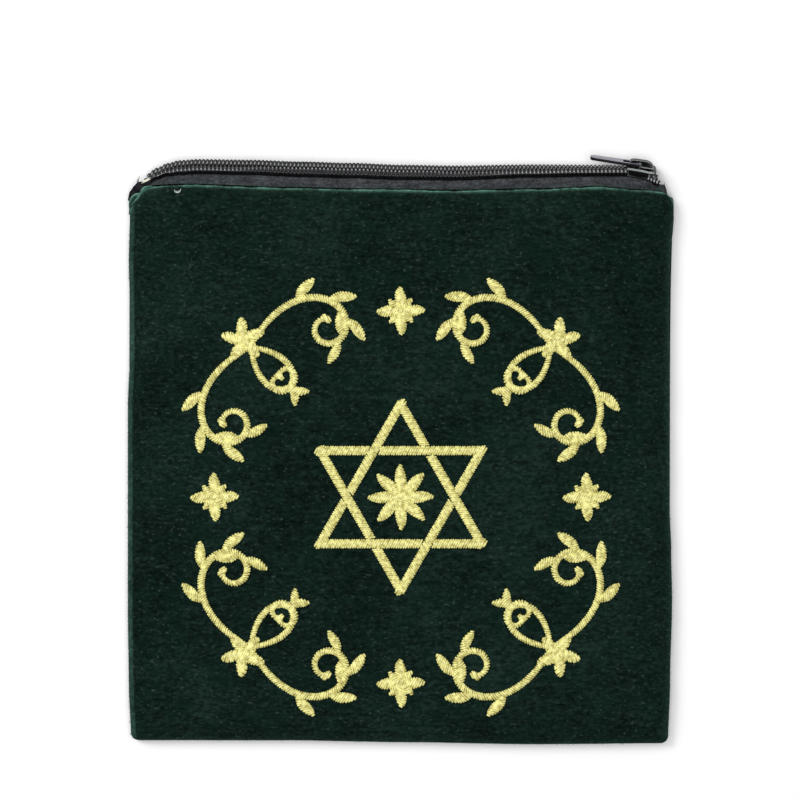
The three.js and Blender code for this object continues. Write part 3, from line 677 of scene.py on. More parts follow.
# The coil's nylon carries painted glints: pale spots that stand for the light on top of each turn.
COIL = gloss("nylon_coil_painted_glints", nylon_with_painted_glints, roughness=0.3, coat=0.5)
PAINTED_REFLECTION_ENAMEL = gloss("black_enamel_painted_reflection", tab_with_painted_reflection, roughness=0.25, coat=0.3, specular=0.25)
# Enamel with painted highlights on its upward edges, for the slider.
EDGE_HIGHLIT_ENAMEL = gloss("black_enamel_painted_edge_highlights", enamel_painted_edge_highlights, roughness=0.3, coat=0.1, specular=0.08)


# Threads
def thread(name, deep, pale, roughness=0.33, specular=0.75):
    """A sewing thread, yarn or loose fibre."""
    material, tree, shader = new_material(name)
    shades = placed_group(tree, SHADES, {"Deep": deep, "Pale": pale})
    tree.links.new(shades["Colour"], shader.inputs["Base Color"])
    shader.inputs["Roughness"].default_value = roughness
    shader.inputs["Specular IOR Level"].default_value = specular
    return material


GOLD = thread("gold_thread", (0.44, 0.385, 0.085), (0.92, 0.885, 0.35))
LINT = thread("pale_lint", (0.1, 0.14, 0.12), (0.4, 0.46, 0.42))
FLUFF = thread("velvet_fluff", (0.02, 0.035, 0.03), (0.07, 0.1, 0.085), roughness=0.8, specular=0.1)
CREAM = thread("cream_thread", (0.6, 0.57, 0.42), (0.82, 0.8, 0.68))
THREAD = thread("black_thread", (0.006, 0.006, 0.007), (0.022, 0.022, 0.025))
# Matte black yarn: for the tape's knot, and for the cords that stand in for shadow along the coil's heel and
# the hem.
SHADOW_AND_KNOT_YARN = thread("black_yarn_and_painted_shadow", (0.001, 0.001, 0.001), (0.004, 0.004, 0.005), roughness=0.9, specular=0.05)


# Velvet
ROLL_SHARE = 0.085
MOUTH_SHARE = 0.07
FOLD_SHARE = 0.4
MOUTH_WAVE = 0.42
MOUTH_WAVE_REACH = 3
PUCKER = 0.22
PUCKER_REACH = 7
SEAM_GROOVE = 0.45
SEAM_GROOVE_INSET = 2.3
SEAM_GROOVE_WIDTH = 0.5
MOUTH_WAVES = [(0.16, 2.2, 6.4, 1), (0.45, 7.1, 3.3, 0.6)]
FRONT_WAVES = [(0.06, 0.09, 3.1, 0.35), (0.45, 0.6, 8.2, 0.1)]
NUB_WAVES = [(0.22, 0.3, 1.7, 0.5), (0.9, 1.1, 5.3, 0.35)]


def crowded(share, low, high, top_rolls):
    """Spreads a grid's rows from edge to edge, and crowds them where the velvet rolls over at a seam."""
    near = np.clip(share / ROLL_SHARE, 0, 1)
    far = np.clip((1 - share) / ROLL_SHARE, 0, 1)
    spare = 2 * ROLL_SHARE if top_rolls else ROLL_SHARE + MOUTH_SHARE
    first = low + SIDE_REACH * (1 - np.cos(near * np.pi / 2))
    last = high - SIDE_REACH * (1 - np.cos(far * np.pi / 2))
    start = low + SIDE_REACH
    stop = high - (SIDE_REACH if top_rolls else HEM_THICKNESS / 2)
    middle = start + (stop - start) * np.clip((share - ROLL_SHARE) / (1 - spare), 0, 1)
    return np.where(share < ROLL_SHARE, first, np.where(top_rolls & (share > 1 - ROLL_SHARE), last, middle))


def front_shape(u, v):
    """The front velvet: rolled at three seams, and folded under as a hem along its mouth."""
    nose = HEM_THICKNESS / 2
    across = height_share(crowded(v, BOTTOM, BOTTOM + VELVET_HEIGHT, False))
    x = crowded(u, left_at(across), right_at(across), True)
    up = width_share(x)
    mouth = mouth_at(up)
    y = crowded(v, bottom_at(up), mouth, False)
    past = np.clip((v - (1 - MOUTH_SHARE)) / MOUTH_SHARE, 0, 1)
    turn = np.pi * np.clip(past / FOLD_SHARE, 0, 1)
    run = HEM_LENGTH * np.clip((past - FOLD_SHARE) / (1 - FOLD_SHARE), 0, 1)
    z = front_height(x, y)
    under = np.minimum(nose, (z - front_inside(x, y, HEM_THICKNESS)) / 2)
    y = y + nose * np.sin(turn) - run
    z = z - under * (1 - np.cos(turn))
    x, y = round_corner(x, y)
    from_mouth = mouth - y
    waves = wander(x, np.ones_like(x), MOUTH_WAVES)
    y = y + MOUTH_WAVE * waves * np.exp(-np.maximum(from_mouth, 0) / MOUTH_WAVE_REACH)
    puckers = PUCKER * np.exp(-from_mouth / PUCKER_REACH) * np.sin(x * 0.42 + 1.7 * np.sin(x * 0.09))
    rough = wander(x, y, FRONT_WAVES)
    from_groove = x - left_at(height_share(y)) - SEAM_GROOVE_INSET
    groove = -SEAM_GROOVE * np.exp(-(from_groove / SEAM_GROOVE_WIDTH) ** 2)
    return x, y, z + (puckers + rough + groove) * np.where(past > FOLD_SHARE, 0.2, 1)


def front_velvet():
    mesh = sheet_mesh("velvet_front", 214, 226, front_shape)
    mark_painted_sheen(mesh)
    return walled(piece("velvet_front", mesh, VELVET, "bag", ["front_panel"]), 1.1)


CORNER_CURL = [  # x, y, z, thickness
    (-98.8, 104.9, 7.4, 0.2), (-101.2, 104.5, 7.2, 0.7), (-102.7, 103.4, 7.0, 0.85),
    (-103.3, 101.9, 6.9, 0.85), (-104.3, 100.2, 6.8, 0.8), (-105.9, 98.9, 6.2, 0.65),
    (-107.6, 97.2, 5.2, 0.25),
]
SEAM_ROLL = [
    (-103.2, 102.0, 6.2, 0.3), (-104.8, 101.7, 5.8, 0.8), (-106.3, 100.9, 5.2, 1.0),
    (-107.4, 99.5, 4.6, 1.0), (-107.9, 97.6, 4.3, 0.8), (-108.0, 94.5, 4.0, 0.3),
]
CORNER_LIT_SIDE = (-0.45, 0.75, 0.48)


def corner_roll():
    """Where the top left corner turns under: the front's curled edge, and the side seam's roll beside it."""
    mesh = wires("velvet_corner_roll", [eased(CORNER_CURL, 5), eased(SEAM_ROLL, 5)], 1.0, sides=4)
    # Painted highlight: paler on the sides that face up and to the upper left, towards the window light.
    towards = rows_of(mesh, "normal") @ np.array(CORNER_LIT_SIDE)
    note(mesh, "painted_sheen", 0.07 + 0.8 * np.clip(towards, 0, 1) ** 3)
    return piece("velvet_corner_roll", scaled(mesh), VELVET, "bag")


FRINGE_COUNT = 5200
FRINGE_RADIUS = 0.055
FRINGE_SHEEN = 0.3
FRINGE_OUT = 0.99
FRINGE_DROP = 1.15


def fringe_root(edge):
    """A place on one rolled edge of the front velvet, and the way its pile stands."""
    if edge == "mouth":
        x = rng.uniform(-BAG_WIDTH / 2 + 9, BAG_WIDTH / 2 - 4)
        turn = rng.uniform(-0.6, 1.5)
        mouth = float(mouth_at(width_share(x)))
        y = mouth + FRINGE_OUT * math.cos(turn) if turn > 0 else mouth - rng.uniform(0, 3)
        z = float(front_height(x, min(y, mouth))) - (FRINGE_DROP * (1 - math.sin(turn)) if turn > 0 else 0)
        return x, y, z, Vector((0, math.cos(turn), 0.3 + math.sin(max(turn, 0.4))))
    share = rng.uniform(0.01, 0.93)
    inward = 2.2 * rng.random() ** 2
    upward = 0.4 * inward
    if edge == "bottom":
        x = BAG_WIDTH * (share - 0.5) * 0.98
        y = float(bottom_at(width_share(x))) + inward
        return x, y, float(front_height(x, y)), Vector((0, -1, 0.4 + upward))
    y = BOTTOM + VELVET_HEIGHT * share
    side = -1 if edge == "left" else 1
    x = float(left_at(share) if side < 0 else right_at(share)) - side * inward
    return x, y, float(front_height(x, y)), Vector((side, 0, 0.3 + upward))


def pile_fringe():
    """Loose pile that stands out from the rolled edges."""
    lines = []
    for _ in range(FRINGE_COUNT):
        edge = rng.choice(("mouth", "mouth", "left", "left", "right", "bottom"))
        x, y, z, out = fringe_root(edge)
        out = (out.normalized() + Vector([rng.uniform(-0.5, 0.5) for _ in range(3)])).normalized()
        length = rng.uniform(0.3, 0.55 if edge == "mouth" else 0.8)
        start = Vector((x, y, z)) - out * 0.15
        lines.append([(*start, 1), (*(start + out * length), 0.3)])
    mesh = scaled(wires("velvet_fringe", lines, FRINGE_RADIUS, caps=False))
    # The loose pile takes some of the painted sheen of the rolled edges.
    note(mesh, "painted_sheen", FRINGE_SHEEN)
    return piece("velvet_fringe", mesh, VELVET, "bag")


def mark_painted_sheen(mesh):
    """Notes a painted sheen highlight by how near each point lies to the rolled edges: bright at the lip, a
    glow beside it, and bands along the seams.
    """
    x, y = rows_of(mesh).T[:2] / MM
    across, up = height_share(y), width_share(x)
    from_left, from_right, down = x - left_at(across), right_at(across) - x, mouth_at(up) - y
    lip = np.abs(down)
    for corner, inward, fade in (("top_left", from_left, 0.35), ("top_right", from_right, 0)):
        radius = CORNERS[corner]
        in_corner = (inward < radius) & (down < radius)
        faded = fade * np.clip((radius - inward) / 4, 0, 1)
        lip = np.where(in_corner, faded + np.abs(radius - np.hypot(radius - inward, radius - down)), lip)
    nubs = 0.62 + wander(x, y, NUB_WAVES)
    curled = np.exp(-((from_left - 5) / 5) ** 2) * np.clip((16 - down) / 8, 0, 1)
    lip_highlight = nubs * (1.1 + 0.5 * curled) * np.exp(-(lip / (0.55 + 0.4 * curled)) ** 2)
    lip_glow = (0.035 + 0.15 * curled) * np.exp(-lip / 1.1)
    # Painted sheen: the left seam is lit more than the right, as the light comes from the left.
    left_seam_sheen = 0.17 * nubs * np.clip(3 - from_left / 0.8, 0, 1)
    right_seam_sheen = 0.1 * np.exp(-np.abs(from_right) / 1.2)
    bottom_seam_sheen = 0.04 * np.exp(-np.abs(y - bottom_at(up)) / 1.2)
    note(mesh, "painted_sheen", np.maximum.reduce([lip_highlight, lip_glow, left_seam_sheen, right_seam_sheen, bottom_seam_sheen]))


front = front_velvet()
back = softened("back_panel", "velvet_back", VELVET, 3)
roll = corner_roll()
fringe = pile_fringe()


# Zip
COIL_WIRE = 0.4
COIL_LOOP = [  # share of the pitch, share of the row from head to heel, share of the height
    (0.0, 0.2, 1.0), (0.0, 0.5, 1.0), (0.0, 0.78, 1.0), (0.0, 0.93, 0.87), (0.02, 1.0, 0.55),
    (0.08, 0.96, 0.2), (0.16, 0.8, 0.02), (0.3, 0.55, 0.0), (0.44, 0.25, 0.0), (0.55, 0.06, 0.12),
    (0.68, -0.03, 0.4), (0.82, -0.03, 0.7), (0.94, 0.06, 0.93),
]
FILLER_CORDS = [(0.22, 0.26), (0.46, 0.28), (0.68, 0.28), (0.86, 0.3)]  # share of the row, radius
SEWING_ROWS = (0.5, 0.8)
SEWING_RADIUS = 0.15
SEWING_LIFT = 0.36
CHAIN_STEP = 1.5
SHADOW_CORD_RADIUS = 0.45


def row_sign(side):
    """The back row lies above the parting, the front row under it."""
    return 1 if side == "back" else -1


def row_shift(side):
    """The back row's turns stand half a pitch on, so that the two rows' heads interlock."""
    return 0.5 if side == "back" else 0


def along_chain(start, step):
    """Places along the chain, a millimetre short of its end."""
    return [start + k * step for k in range(int((CHAIN_RIGHT - CHAIN_LEFT - 1) / step))]


def coil(side):
    """One nylon wire that loops over the tape's edge at each tooth, with its heads at the chain's middle."""
    turns = int((CHAIN_RIGHT - CHAIN_LEFT) / TOOTH_PITCH)
    low = CLEARANCE + COIL_WIRE
    high = COIL_HEIGHT - COIL_WIRE
    line = []
    for k in range(0 if side == "back" else 1, turns):
        for along, row, height in COIL_LOOP:
            x = CHAIN_LEFT + (k + along + row_shift(side)) * TOOTH_PITCH
            if x > CHAIN_RIGHT:
                continue
            near = parting(x) + COIL_WIRE * 0.6
            far = max(parting(x) + row_width(side, x) - COIL_WIRE, near + 0.2)
            across = row_sign(side) * (near + (far - near) * row)
            line.append(on_chain(x, across, low + (high - low) * height))
    mesh = wires(f"coil_{side}", [line], COIL_WIRE, sides=2)
    mark_painted_glints(mesh, side)
    return piece(f"coil_{side}", scaled(mesh), COIL, "bag", [f"zip_coil_{side}"])


def mark_painted_glints(mesh, side):
    """Notes where a painted glint goes: the spot on top of each turn of the coil that the light would catch.
    """
    x, y, z = rows_of(mesh).T
    stops = np.linspace(CHAIN_LEFT - 1, CHAIN_RIGHT + 1, 400)
    frames = [chain_at(at) for at in stops]

    def read(values):
        return np.interp(x, stops, values)

    from_y = y - read([place.y for place, across, out in frames])
    from_z = z - read([place.z for place, across, out in frames])
    aside = np.abs(from_y * read([across.y for place, across, out in frames])
                   + from_z * read([across.z for place, across, out in frames]))
    height = (from_y * read([out.y for place, across, out in frames])
              + from_z * read([out.z for place, across, out in frames])) / COIL_HEIGHT
    turn = (x - CHAIN_LEFT) / TOOTH_PITCH - row_shift(side)
    along = (turn - np.round(turn)) * TOOTH_PITCH
    row = (aside - read([parting(at) for at in stops])) / read([row_width(side, at) for at in stops])
    spot = column(GLINT_SPOTS[side], (x - CHAIN_LEFT) / (CHAIN_RIGHT - CHAIN_LEFT))
    near = np.exp(-(along / 0.34) ** 2 - ((row - spot) * 2.6 / 0.42) ** 2)
    note(mesh, "painted_glint", near * np.clip((height - 0.45) / 0.3, 0, 1))


def coil_sewing(side):
    """The filler cords inside a coil's loops, and the two rows of thread that sew the coil to its tape."""
    middle = (CLEARANCE + COIL_HEIGHT) / 2

    def across(x, share):
        return row_sign(side) * (parting(x) + row_width(side, x) * share)

    stops = along_chain(CHAIN_LEFT + 0.5, CHAIN_STEP)
    lines = [[(*on_chain(x, across(x, share), middle), radius) for x in stops]
             for share, radius in FILLER_CORDS]
    for share in SEWING_ROWS:
        line = []
        for x in along_chain(CHAIN_LEFT, TOOTH_PITCH / 6):
            over = math.cos(2 * math.pi * ((x - CHAIN_LEFT) / TOOTH_PITCH - row_shift(side)))
            height = COIL_HEIGHT - 0.3 + SEWING_LIFT * over
            line.append((*on_chain(x, across(x, share), height), SEWING_RADIUS))
        lines.append(line)
    return wire_piece(f"coil_sewing_{side}", lines, 1.0, THREAD, sides=1)


LEFT_TAPE_END = [  # rows of places, from the chain down to the side seam
    [(-104.9, 107.0, 5.2), (-103.2, 107.0, 5.5), (-101.5, 107.7, 5.6), (-99.6, 108.5, 5.4)],
    [(-106.7, 105.0, 4.4), (-104.8, 104.6, 5.0), (-102.2, 104.6, 4.8), (-99.6, 105.2, 4.8)],
    [(-108.3, 102.8, 3.5), (-106.6, 102.3, 4.2), (-104.5, 100.5, 4.2), (-100.5, 101.0, 4.2)],
    [(-109.0, 99.8, 2.9), (-107.8, 99.2, 3.3), (-106.0, 97.5, 3.6), (-102.0, 98.0, 3.6)],
]
RIGHT_TAPE_END = [
    [(102.0, 106.4, 4.6), (103.6, 106.3, 4.4), (105.4, 105.6, 3.9)],
    [(102.0, 104.4, 4.7), (104.0, 104.4, 4.5), (106.0, 104.0, 3.8)],
    [(102.0, 101.0, 4.6), (104.0, 101.0, 4.4), (106.4, 101.6, 3.6)],
]
FOLDED_WALL = 0.5
WHISKER_RADIUS = 0.16
CREAM_RADIUS = 0.2
WHISKERS = [  # x, y, z, thickness
    [(-104.9, 106.8, 5.3, 1), (-104.6, 107.9, 5.8, 0.9), (-104.1, 109.3, 6.1, 0.35)],
    [(-105.1, 106.6, 5.2, 0.9), (-105.2, 107.4, 5.6, 0.7), (-104.9, 108.3, 5.8, 0.3)],
    [(105.3, 105.5, 4.0, 1), (105.5, 106.2, 4.2, 0.6), (105.4, 106.9, 4.3, 0.3)],
]
END_STOP = [(102.9, 106.5, 5.2, 1.2), (103.5, 106.3, 5.2, 1.6), (104.2, 106.0, 5.0, 1.1)]


def tape_ends():
    """The folded tape that shows past both ends of the zip."""
    ends = []
    # The left end takes the darker tape: painted shade.
    for name, rows, columns, steps, material in (("tape_end_left", LEFT_TAPE_END, 18, 18, SHADED_TAPE),
                                                 ("tape_end_right", RIGHT_TAPE_END, 10, 12, TAPE)):
        mesh = patch(name, rows, columns, steps)
        ends.append(walled(piece(name, mesh, material, "bag"), FOLDED_WALL))
    return ends


def tape_threads():
    """Loose black threads at the tape's ends, its raw cream edge and the end stop."""
    whiskers = [eased(route, 4) for route in WHISKERS]
    wire_piece("tape_whiskers", whiskers, WHISKER_RADIUS, THREAD, sides=1)
    cream = [eased([(-99.7, 108.7 - 0.3 * k, 5.9 - 0.1 * k, 0.8), (-101.6, 107.7 - 0.3 * k, 6.0, 1),
                    (-103.7, 106.8 - 0.28 * k, 5.7, 0.6)], 4) for k in range(3)]
    cream.append(END_STOP)
    wire_piece("cream_edges", cream, CREAM_RADIUS, CREAM, sides=1)


TAIL_START = (98.2, 108.1, 9.2)
TAIL_END = (102.8, 106.2, 8.7)
TAIL_TURNS = 4
TAIL_ACROSS = (0.36, 0.87, 0.1)
TAIL_HALF_WIDTH = 0.85
TAIL_HALF_HEIGHT = 0.7
TAIL_WIRE = 0.36
KNOT_RADIUS = 0.8
TAPE_KNOT = [(100.2, 106.3, 8.6, 0.6), (101.6, 105.9, 8.6, 0.9), (102.8, 105.5, 8.3, 0.5)]


def coil_tail():
    """The last turns of the front row, which come out from under the slider, and the tape's knotted end."""
    first, last, across = Vector(TAIL_START), Vector(TAIL_END), Vector(TAIL_ACROSS)
    steps = TAIL_TURNS * 8
    line = []
    for k in range(steps + 1):
        angle = math.pi * k / 4
        place = first.lerp(last, k / steps)
        rise = Vector((0, 0, TAIL_HALF_HEIGHT * math.sin(angle)))
        line.append(place + across * TAIL_HALF_WIDTH * math.cos(angle) + rise)
    mesh = wires("coil_tail", [line], TAIL_WIRE, sides=2)
    x, y, z = rows_of(mesh).T
    share = (x - first.x) / (last.x - first.x)
    level = first.z + share * (last.z - first.z)
    middle = first.y + share * (last.y - first.y)
    # Painted glint: a pale streak along the top of each turn of the tail.
    note(mesh, "painted_glint", 0.8 * np.exp(-((y - middle) / 0.32) ** 2) * np.clip((z - level - 0.5) / 0.3, 0, 1))
    piece("coil_tail", scaled(mesh), COIL, "bag")
    wire_piece("tape_knot", [eased(TAPE_KNOT, 4)], KNOT_RADIUS, SHADOW_AND_KNOT_YARN, sides=2)


LINT_CURL = [(-90.0, 103.4, 0.5), (-89.6, 102.6, 1), (-88.7, 102.3, 1), (-87.8, 102.7, 0.9),
             (-87.3, 103.9, 0.4)]
FIBRE_COUNT = 420
FIBRE_LENGTHS = (0.25, 0.4, 0.6, 0.9, 1.6)
FIBRE_RADIUS = 0.05
FIBRE_LIFT = 0.12


def lint_curl():
    """One pale curl of lint by the zip, of two fibres."""
    curl = eased(LINT_CURL, 4)
    lines = [[(x, y + aside, float(front_height(x, y)) + lift, width * radius) for x, y, width in part]
             for part, aside, lift, radius in ((curl, 0, 0.25, 0.28), (curl[5:-3], 0.4, 0.2, 0.22))]
    wire_piece("lint_curl", lines, 1.0, LINT)


def lint():
    """Fine fibres that lie all over the velvet, most of them along its width."""
    lines = []
    for _ in range(FIBRE_COUNT):
        x, y = rng.uniform(-105, 105), rng.uniform(BOTTOM + 3, BOTTOM + 216)
        heading, length = rng.gauss(0, 0.5), rng.choice(FIBRE_LENGTHS)
        line = []
        for _ in range(4):
            line.append((x, y, float(front_height(x, y)) + FIBRE_LIFT, FIBRE_RADIUS))
            heading += rng.uniform(-0.5, 0.5)
            x, y = x + math.cos(heading) * length / 3, y + math.sin(heading) * length / 3
        lines.append(line)
    wire_piece("lint", lines, 1.0, FLUFF)


def painted_coil_shadow(side):
    """A matte black cord along the heel of its row of coil: a painted shadow where the coil overhangs the
    tape.
    """
    line = [on_chain(x, row_sign(side) * (parting(x) + row_width(side, x) + 0.3), 0.3)
            for x in along_chain(CHAIN_LEFT + 1, CHAIN_STEP)]
    return wire_piece(f"painted_coil_shadow_{side}", [line], SHADOW_CORD_RADIUS, SHADOW_AND_KNOT_YARN, sides=1)


HEM_SHADOW_START = -99
HEM_SHADOW_STEP = 2.02
HEM_SHADOW_STEPS = 100
HEM_SHADOW_RADIUS = 0.3


def painted_hem_shadow():
    """A black cord on the tape just outside the hem's lip: a painted shadow where the tape tucks under the
    velvet.
    """
    line = []
    for k in range(HEM_SHADOW_STEPS):
        x = HEM_SHADOW_START + k * HEM_SHADOW_STEP
        y = float(mouth_at(width_share(x))) + 0.35
        line.append((x, y, float(hem_underside(x)) - CLEARANCE + 0.12))
    return wire_piece("painted_hem_shadow", [line], HEM_SHADOW_RADIUS, SHADOW_AND_KNOT_YARN, sides=1)


for row in ("front", "back"):
    coil_sewing(row)
for row in ("front", "back"):
    painted_coil_shadow(row)
painted_hem_shadow()
coil_tail()
lint_curl()
lint()
for row in ("front", "back"):
    coil(row)
tape_front = softened("zip_tape_front", "woven_tape_front", TAPE, 2)
ends = tape_ends()
tape_threads()
tape_back = softened("zip_tape_back", "woven_tape_back", TAPE, 2)


def hard_piece(node, name, body, width, material):
    """A CAD node's own form with its edges rounded."""
    bm = bmesh.new()
    bm.from_mesh(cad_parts[node].data)
    bmesh.ops.remove_doubles(bm, verts=bm.verts, dist=MERGE_DISTANCE)
    bmesh.ops.dissolve_limit(bm, angle_limit=math.radians(3), verts=bm.verts, edges=bm.edges)
    obj = piece(name, mesh_of(name, bm), material, body, [node])
    edges = obj.modifiers.new("edges", "BEVEL")
    edges.width = width * MM
    edges.segments = 3
    edges.limit_method = "ANGLE"
    edges.angle_limit = math.radians(35)
    edges.use_clamp_overlap = True
    return obj


hard_piece("slider_body", "slider", "bag", width=0.22, material=EDGE_HIGHLIT_ENAMEL)
hard_piece("pull_tab", "pull", "pull", width=0.25, material=PAINTED_REFLECTION_ENAMEL)


# Embroidery
STITCH_PITCH = 0.95
STITCH_RADIUS = 0.42
STITCH_RISE = 0.75
SLANT = 0.55
STITCH_UNEVEN = 0.07
FINEST_STITCH = 0.25
STROKE_STEP = 0.2
BED_STEP = 1.6
BED_INSET = 0.1
BED_FLATTENED = 0.45
SEWN_LIFT = 0.3
STITCH_STOPS = (-1, -0.62, 0, 0.62, 1)


def stroke_line(x, y, start, length, sweep=0.0, curl=0.0):
    """A line that heads at start degrees, turns evenly by sweep, and more and more by curl."""
    steps = max(8, int(length / STROKE_STEP))
    points = [(x, y)]
    for k in range(steps):
        t = (k + 0.5) / steps
        heading = math.radians(start + sweep * t + curl * t ** 3)
        x += math.cos(heading) * length / steps
        y += math.sin(heading) * length / steps
        points.append((x, y))
    return points


def heading_at(points, k):
    a, b = points[max(0, k - 1)], points[min(len(points) - 1, k + 1)]
    return math.atan2(b[1] - a[1], b[0] - a[0])


WIDTHS = {
    "leaf": lambda t: max(math.sin(math.pi * t), 0) ** 0.75,
    "stem": lambda t: 0.55 + 0.45 * max(math.sin(math.pi * t), 0) ** 0.6,
    "bar": lambda t: 1.0,
}


class Figure:
    """The beds and stitches of one embroidered figure, drawn flat."""

    def __init__(self):
        self.beds = []
        self.stitches = []

    def satin(self, points, kind, width, skip=None):
        """Slanted stitches across a stroke, over a padded bed. skip is the share that another bar covers."""
        last = len(points) - 1
        span = sum(math.dist(points[k], points[k + 1]) for k in range(last))
        every = max(1, last // max(4, int(span / BED_STEP)))

        def covered(t):
            return skip is not None and abs(t - skip[0]) < skip[1]

        bed = []
        for k in list(range(0, last, every)) + [last]:
            t = k / last
            if not covered(t):
                bed.append((*points[k], 0.0, max(width * WIDTHS[kind](t) / 2 - BED_INSET, 0.02)))
            elif len(bed) > 1:
                self.beds.append(bed)
                bed = []
        if len(bed) > 1:
            self.beds.append(bed)
        count = max(3, round(span / STITCH_PITCH))
        for i in range(count):
            t = (i + 0.5) / count
            if covered(t):
                continue
            k = min(last, round(t * last))
            half = width * WIDTHS[kind](t) / 2 + rng.uniform(-STITCH_UNEVEN, STITCH_UNEVEN)
            if half >= FINEST_STITCH:
                self.stitches.append(self.stitch(points[k], heading_at(points, k), half))

    def stitch(self, place, heading, half):
        """One slanted stitch, which arches over its bed."""
        line = []
        for across in STITCH_STOPS:
            forward = SLANT * across * half
            side = across * half
            rise = STITCH_RISE * (1 - abs(across) ** 2.2) * min(1, half / 0.9)
            line.append((place[0] + math.cos(heading) * forward - math.sin(heading) * side,
                         place[1] + math.sin(heading) * forward + math.cos(heading) * side,
                         rise + rng.uniform(-0.03, 0.03)))
        return line

    def dot(self, x, y, radius):
        self.satin([(x - radius + 2 * radius * k / 20, y) for k in range(21)], "leaf", 2 * radius)

    def add(self, other):
        self.beds += other.beds
        self.stitches += other.stitches

    def moved(self, place):
        """The same figure with each point moved by a function of x and y."""
        copy = Figure()
        for source, target in ((self.beds, copy.beds), (self.stitches, copy.stitches)):
            for line in source:
                target.append([(*place(p[0], p[1]), *p[2:]) for p in line])
        return copy

    def sewn(self, name, node):
        """Lays the figure on the velvet as one mesh."""
        bed = wires(name + "_bed", self.beds, 1.0, sides=1)
        sewing = wires(name, self.stitches, STITCH_RADIUS, sides=1)
        bm = bmesh.new()
        for mesh, flattened in ((bed, BED_FLATTENED), (sewing, 1.0)):
            places = rows_of(mesh)
            places[:, 2] = front_height(places[:, 0], places[:, 1]) + places[:, 2] * flattened + SEWN_LIFT
            mesh.vertices.foreach_set("co", (places * MM).ravel())
            bm.from_mesh(mesh)
            bpy.data.meshes.remove(mesh)
        return piece(name, mesh_of(name, bm), GOLD, "bag", [node])


SPRAY_STEMS = [
    dict(x=21, y=19, start=-62, sweep=95, curl=330, length=78, width=STEM_WIDTH, dot=1.7),
    dict(x=21, y=20.5, start=8, sweep=60, curl=300, length=40, width=SCROLL_WIDTH, dot=1.4),
]
SPRAY_LEAVES = [  # stem, share of the stem, side, size
    (0, 0.12, -1, 1), (0, 0.27, -1, 1), (0, 0.4, 1, 0.95), (0, 0.45, -1, 1), (0, 0.6, -1, 0.9),
    (1, 0.42, -1, 0.8),
]
STEM_POINTS = (13, 9)
BLOSSOM_PLACE = (17.5, 17.5)
LEAF_TURN = 48
LEAF_SWEEP = 28


def spray():
    """A spray of vine for the lower left corner: stems, leaves, curled ends and a blossom."""
    half = Figure()
    stems = []
    for stem in SPRAY_STEMS:
        points = stroke_line(stem["x"], stem["y"], stem["start"], stem["length"], stem["sweep"], stem["curl"])
        stems.append(points)
        half.satin(points, "stem", stem["width"])
        half.dot(*points[-1], stem["dot"])
    for stem, at, side, size in SPRAY_LEAVES:
        points = stems[stem]
        share = leaf_share(at, stem)
        k = round(share * (len(points) - 1))
        start = math.degrees(heading_at(points, k)) + side * LEAF_TURN
        leaf = stroke_line(*points[k], start, LEAF_LENGTH * size, -side * LEAF_SWEEP)
        half.satin(leaf, "leaf", LEAF_WIDTH * size)
    whole = Figure()
    whole.add(half)
    whole.add(half.moved(lambda x, y: (y, x)))
    petals(whole, 5, BLOSSOM_RADIUS, PETAL_WIDTH, 45, BLOSSOM_PLACE)
    whole.dot(*BLOSSOM_PLACE, 2.2)
    return whole


def leaf_share(at, stem):
    """The frame places a leaf at one of the stem's few points, which crowd towards its curled end."""
    steps = STEM_POINTS[stem]
    return (round(at * steps) / steps) ** 0.6


def petals(figure, count, radius, width, turn=0.0, middle=(0, 0)):
    for k in range(count):
        figure.satin(stroke_line(*middle, turn + 360 * k / count, radius), "leaf", width)


BARS_CROSS_AT = 2 / 3
BAR_GAP = 0.033


def star():
    """Two triangles whose bars pass over and under each other in turn."""
    figure = Figure()
    for turn in (90, 270):
        for k in range(3):
            ends = [math.radians(turn + 120 * (k + step)) for step in (0, 1)]
            a, b = [(math.cos(angle) * STAR_RADIUS, math.sin(angle) * STAR_RADIUS) for angle in ends]
            points = [(a[0] + (b[0] - a[0]) * s / 300, a[1] + (b[1] - a[1]) * s / 300) for s in range(301)]
            figure.satin(points, "bar", STAR_BAR, skip=(BARS_CROSS_AT, BAR_GAP))
            figure.dot(*a, STAR_BAR * 0.62)
    return figure


def rosette():
    figure = Figure()
    petals(figure, 8, ROSETTE_RADIUS, PETAL_WIDTH)
    figure.dot(0, 0, PETAL_WIDTH * 0.5)
    return figure


def floret():
    """Four long petals over four short ones."""
    figure = Figure()
    petals(figure, 4, FLORET_RADIUS * 0.68, PETAL_WIDTH * 0.6, 45)
    petals(figure, 4, FLORET_RADIUS, PETAL_WIDTH)
    figure.dot(0, 0, PETAL_WIDTH * 0.42)
    return figure


def sew(figure, name, at_x=0, at_y=0, flip_x=1, flip_y=1):
    """Sews a figure round a place that is measured from the middle of the ornament."""
    moved = figure.moved(lambda x, y: (at_x + flip_x * x, ORNAMENT_Y + at_y + flip_y * y))
    moved.sewn(f"stitched_{name}", name)


FLORET_REACH = ORNAMENT_HALF - 6
sew(star(), "star")
sew(rosette(), "rosette")
one_floret = floret()
for place_name, (ux, uy) in {"top": (0, 1), "bottom": (0, -1), "left": (-1, 0), "right": (1, 0)}.items():
    sew(one_floret, f"floret_{place_name}", ux * FLORET_REACH, uy * FLORET_REACH)
one_spray = spray()
for place_name, (sx, sy) in {"lower_left": (1, 1), "lower_right": (-1, 1), "upper_left": (1, -1),
                             "upper_right": (-1, -1)}.items():
    sew(one_spray, f"spray_{place_name}", -sx * ORNAMENT_HALF, -sy * ORNAMENT_HALF, sx, sy)


# Table, light and camera
TABLE_HALF = 3


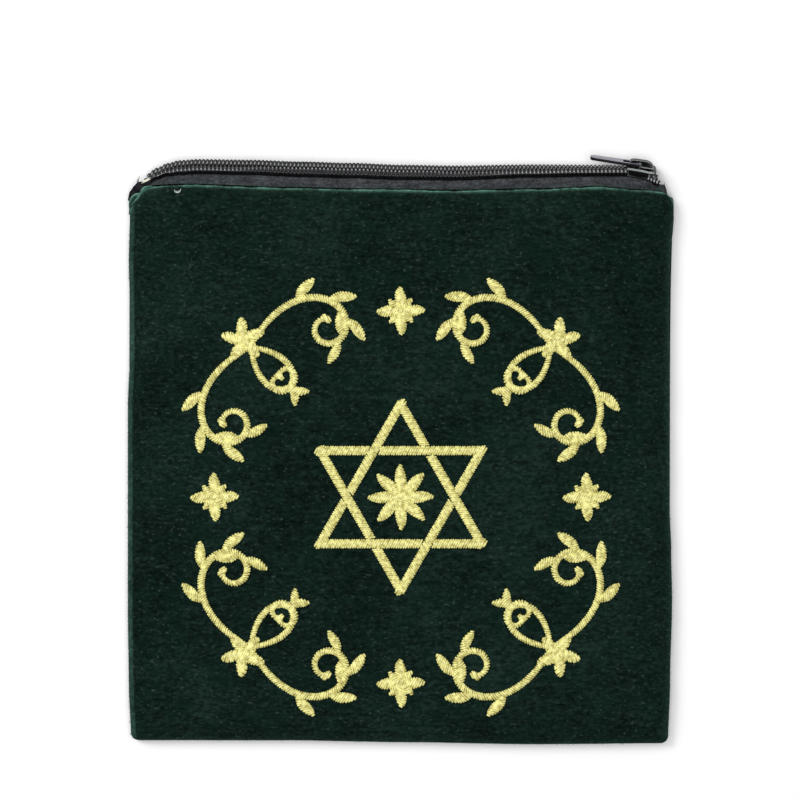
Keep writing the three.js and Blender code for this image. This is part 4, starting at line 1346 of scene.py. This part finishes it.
def table():
    """The white paper that the bag lies on."""
    bm = bmesh.new()
    bmesh.ops.create_grid(bm, x_segments=1, y_segments=1, size=TABLE_HALF)
    mesh = mesh_of("table", bm)
    paper, _, shader = new_material("white_paper")
    shader.inputs["Base Color"].default_value = (0.93, 0.93, 0.93, 1)
    shader.inputs["Roughness"].default_value = 0.95
    shader.inputs["Specular IOR Level"].default_value = 0.0
    mesh.materials.append(paper)
    shown("table", mesh)


def light(name, place, size, watts):
    """A round soft light that faces the middle of the bag."""
    lamp = bpy.data.lights.new(name, "AREA")
    lamp.shape = "DISK"
    lamp.size = size
    lamp.energy = watts
    obj = shown(name, lamp)
    obj.location = place
    obj.rotation_mode = "QUATERNION"
    obj.rotation_quaternion = (-Vector(place)).to_track_quat("-Z", "Y")


def room(strength):
    """Even white light from all round."""
    world = bpy.data.worlds.new("room")
    bpy.context.scene.world = world
    world.use_nodes = True
    world.node_tree.nodes["Background"].inputs["Color"].default_value = (1, 1, 1, 1)
    world.node_tree.nodes["Background"].inputs["Strength"].default_value = strength


table()
light("window", (-1.15, 0.85, 1.5), size=0.95, watts=21)
light("ceiling", (0.05, -0.1, 1.5), size=1.4, watts=14.6)
room(strength=0.26)
bpy.context.scene.view_settings.view_transform = "Standard"

# The photograph is 800 pixels square, 0.4 mm to a pixel at the height of the seams.
MM_PER_PIXEL = 0.4
PHOTO_SIZE = 800
PHOTO_MIDDLE = (400.75, 449.65)
CAMERA_HEIGHT = 1100
SCALE_LEVEL = 3
SENSOR_WIDTH = 36
camera_data = bpy.data.cameras.new("camera")
camera = shown("camera", camera_data)
camera.location = ((PHOTO_SIZE / 2 - PHOTO_MIDDLE[0]) * MM_PER_PIXEL * MM,
                   (PHOTO_MIDDLE[1] - PHOTO_SIZE / 2) * MM_PER_PIXEL * MM, (SCALE_LEVEL + CAMERA_HEIGHT) * MM)
camera_data.sensor_width = SENSOR_WIDTH
camera_data.lens = SENSOR_WIDTH * CAMERA_HEIGHT / (PHOTO_SIZE * MM_PER_PIXEL)
camera_data.clip_end = 10
bpy.context.scene.camera = camera
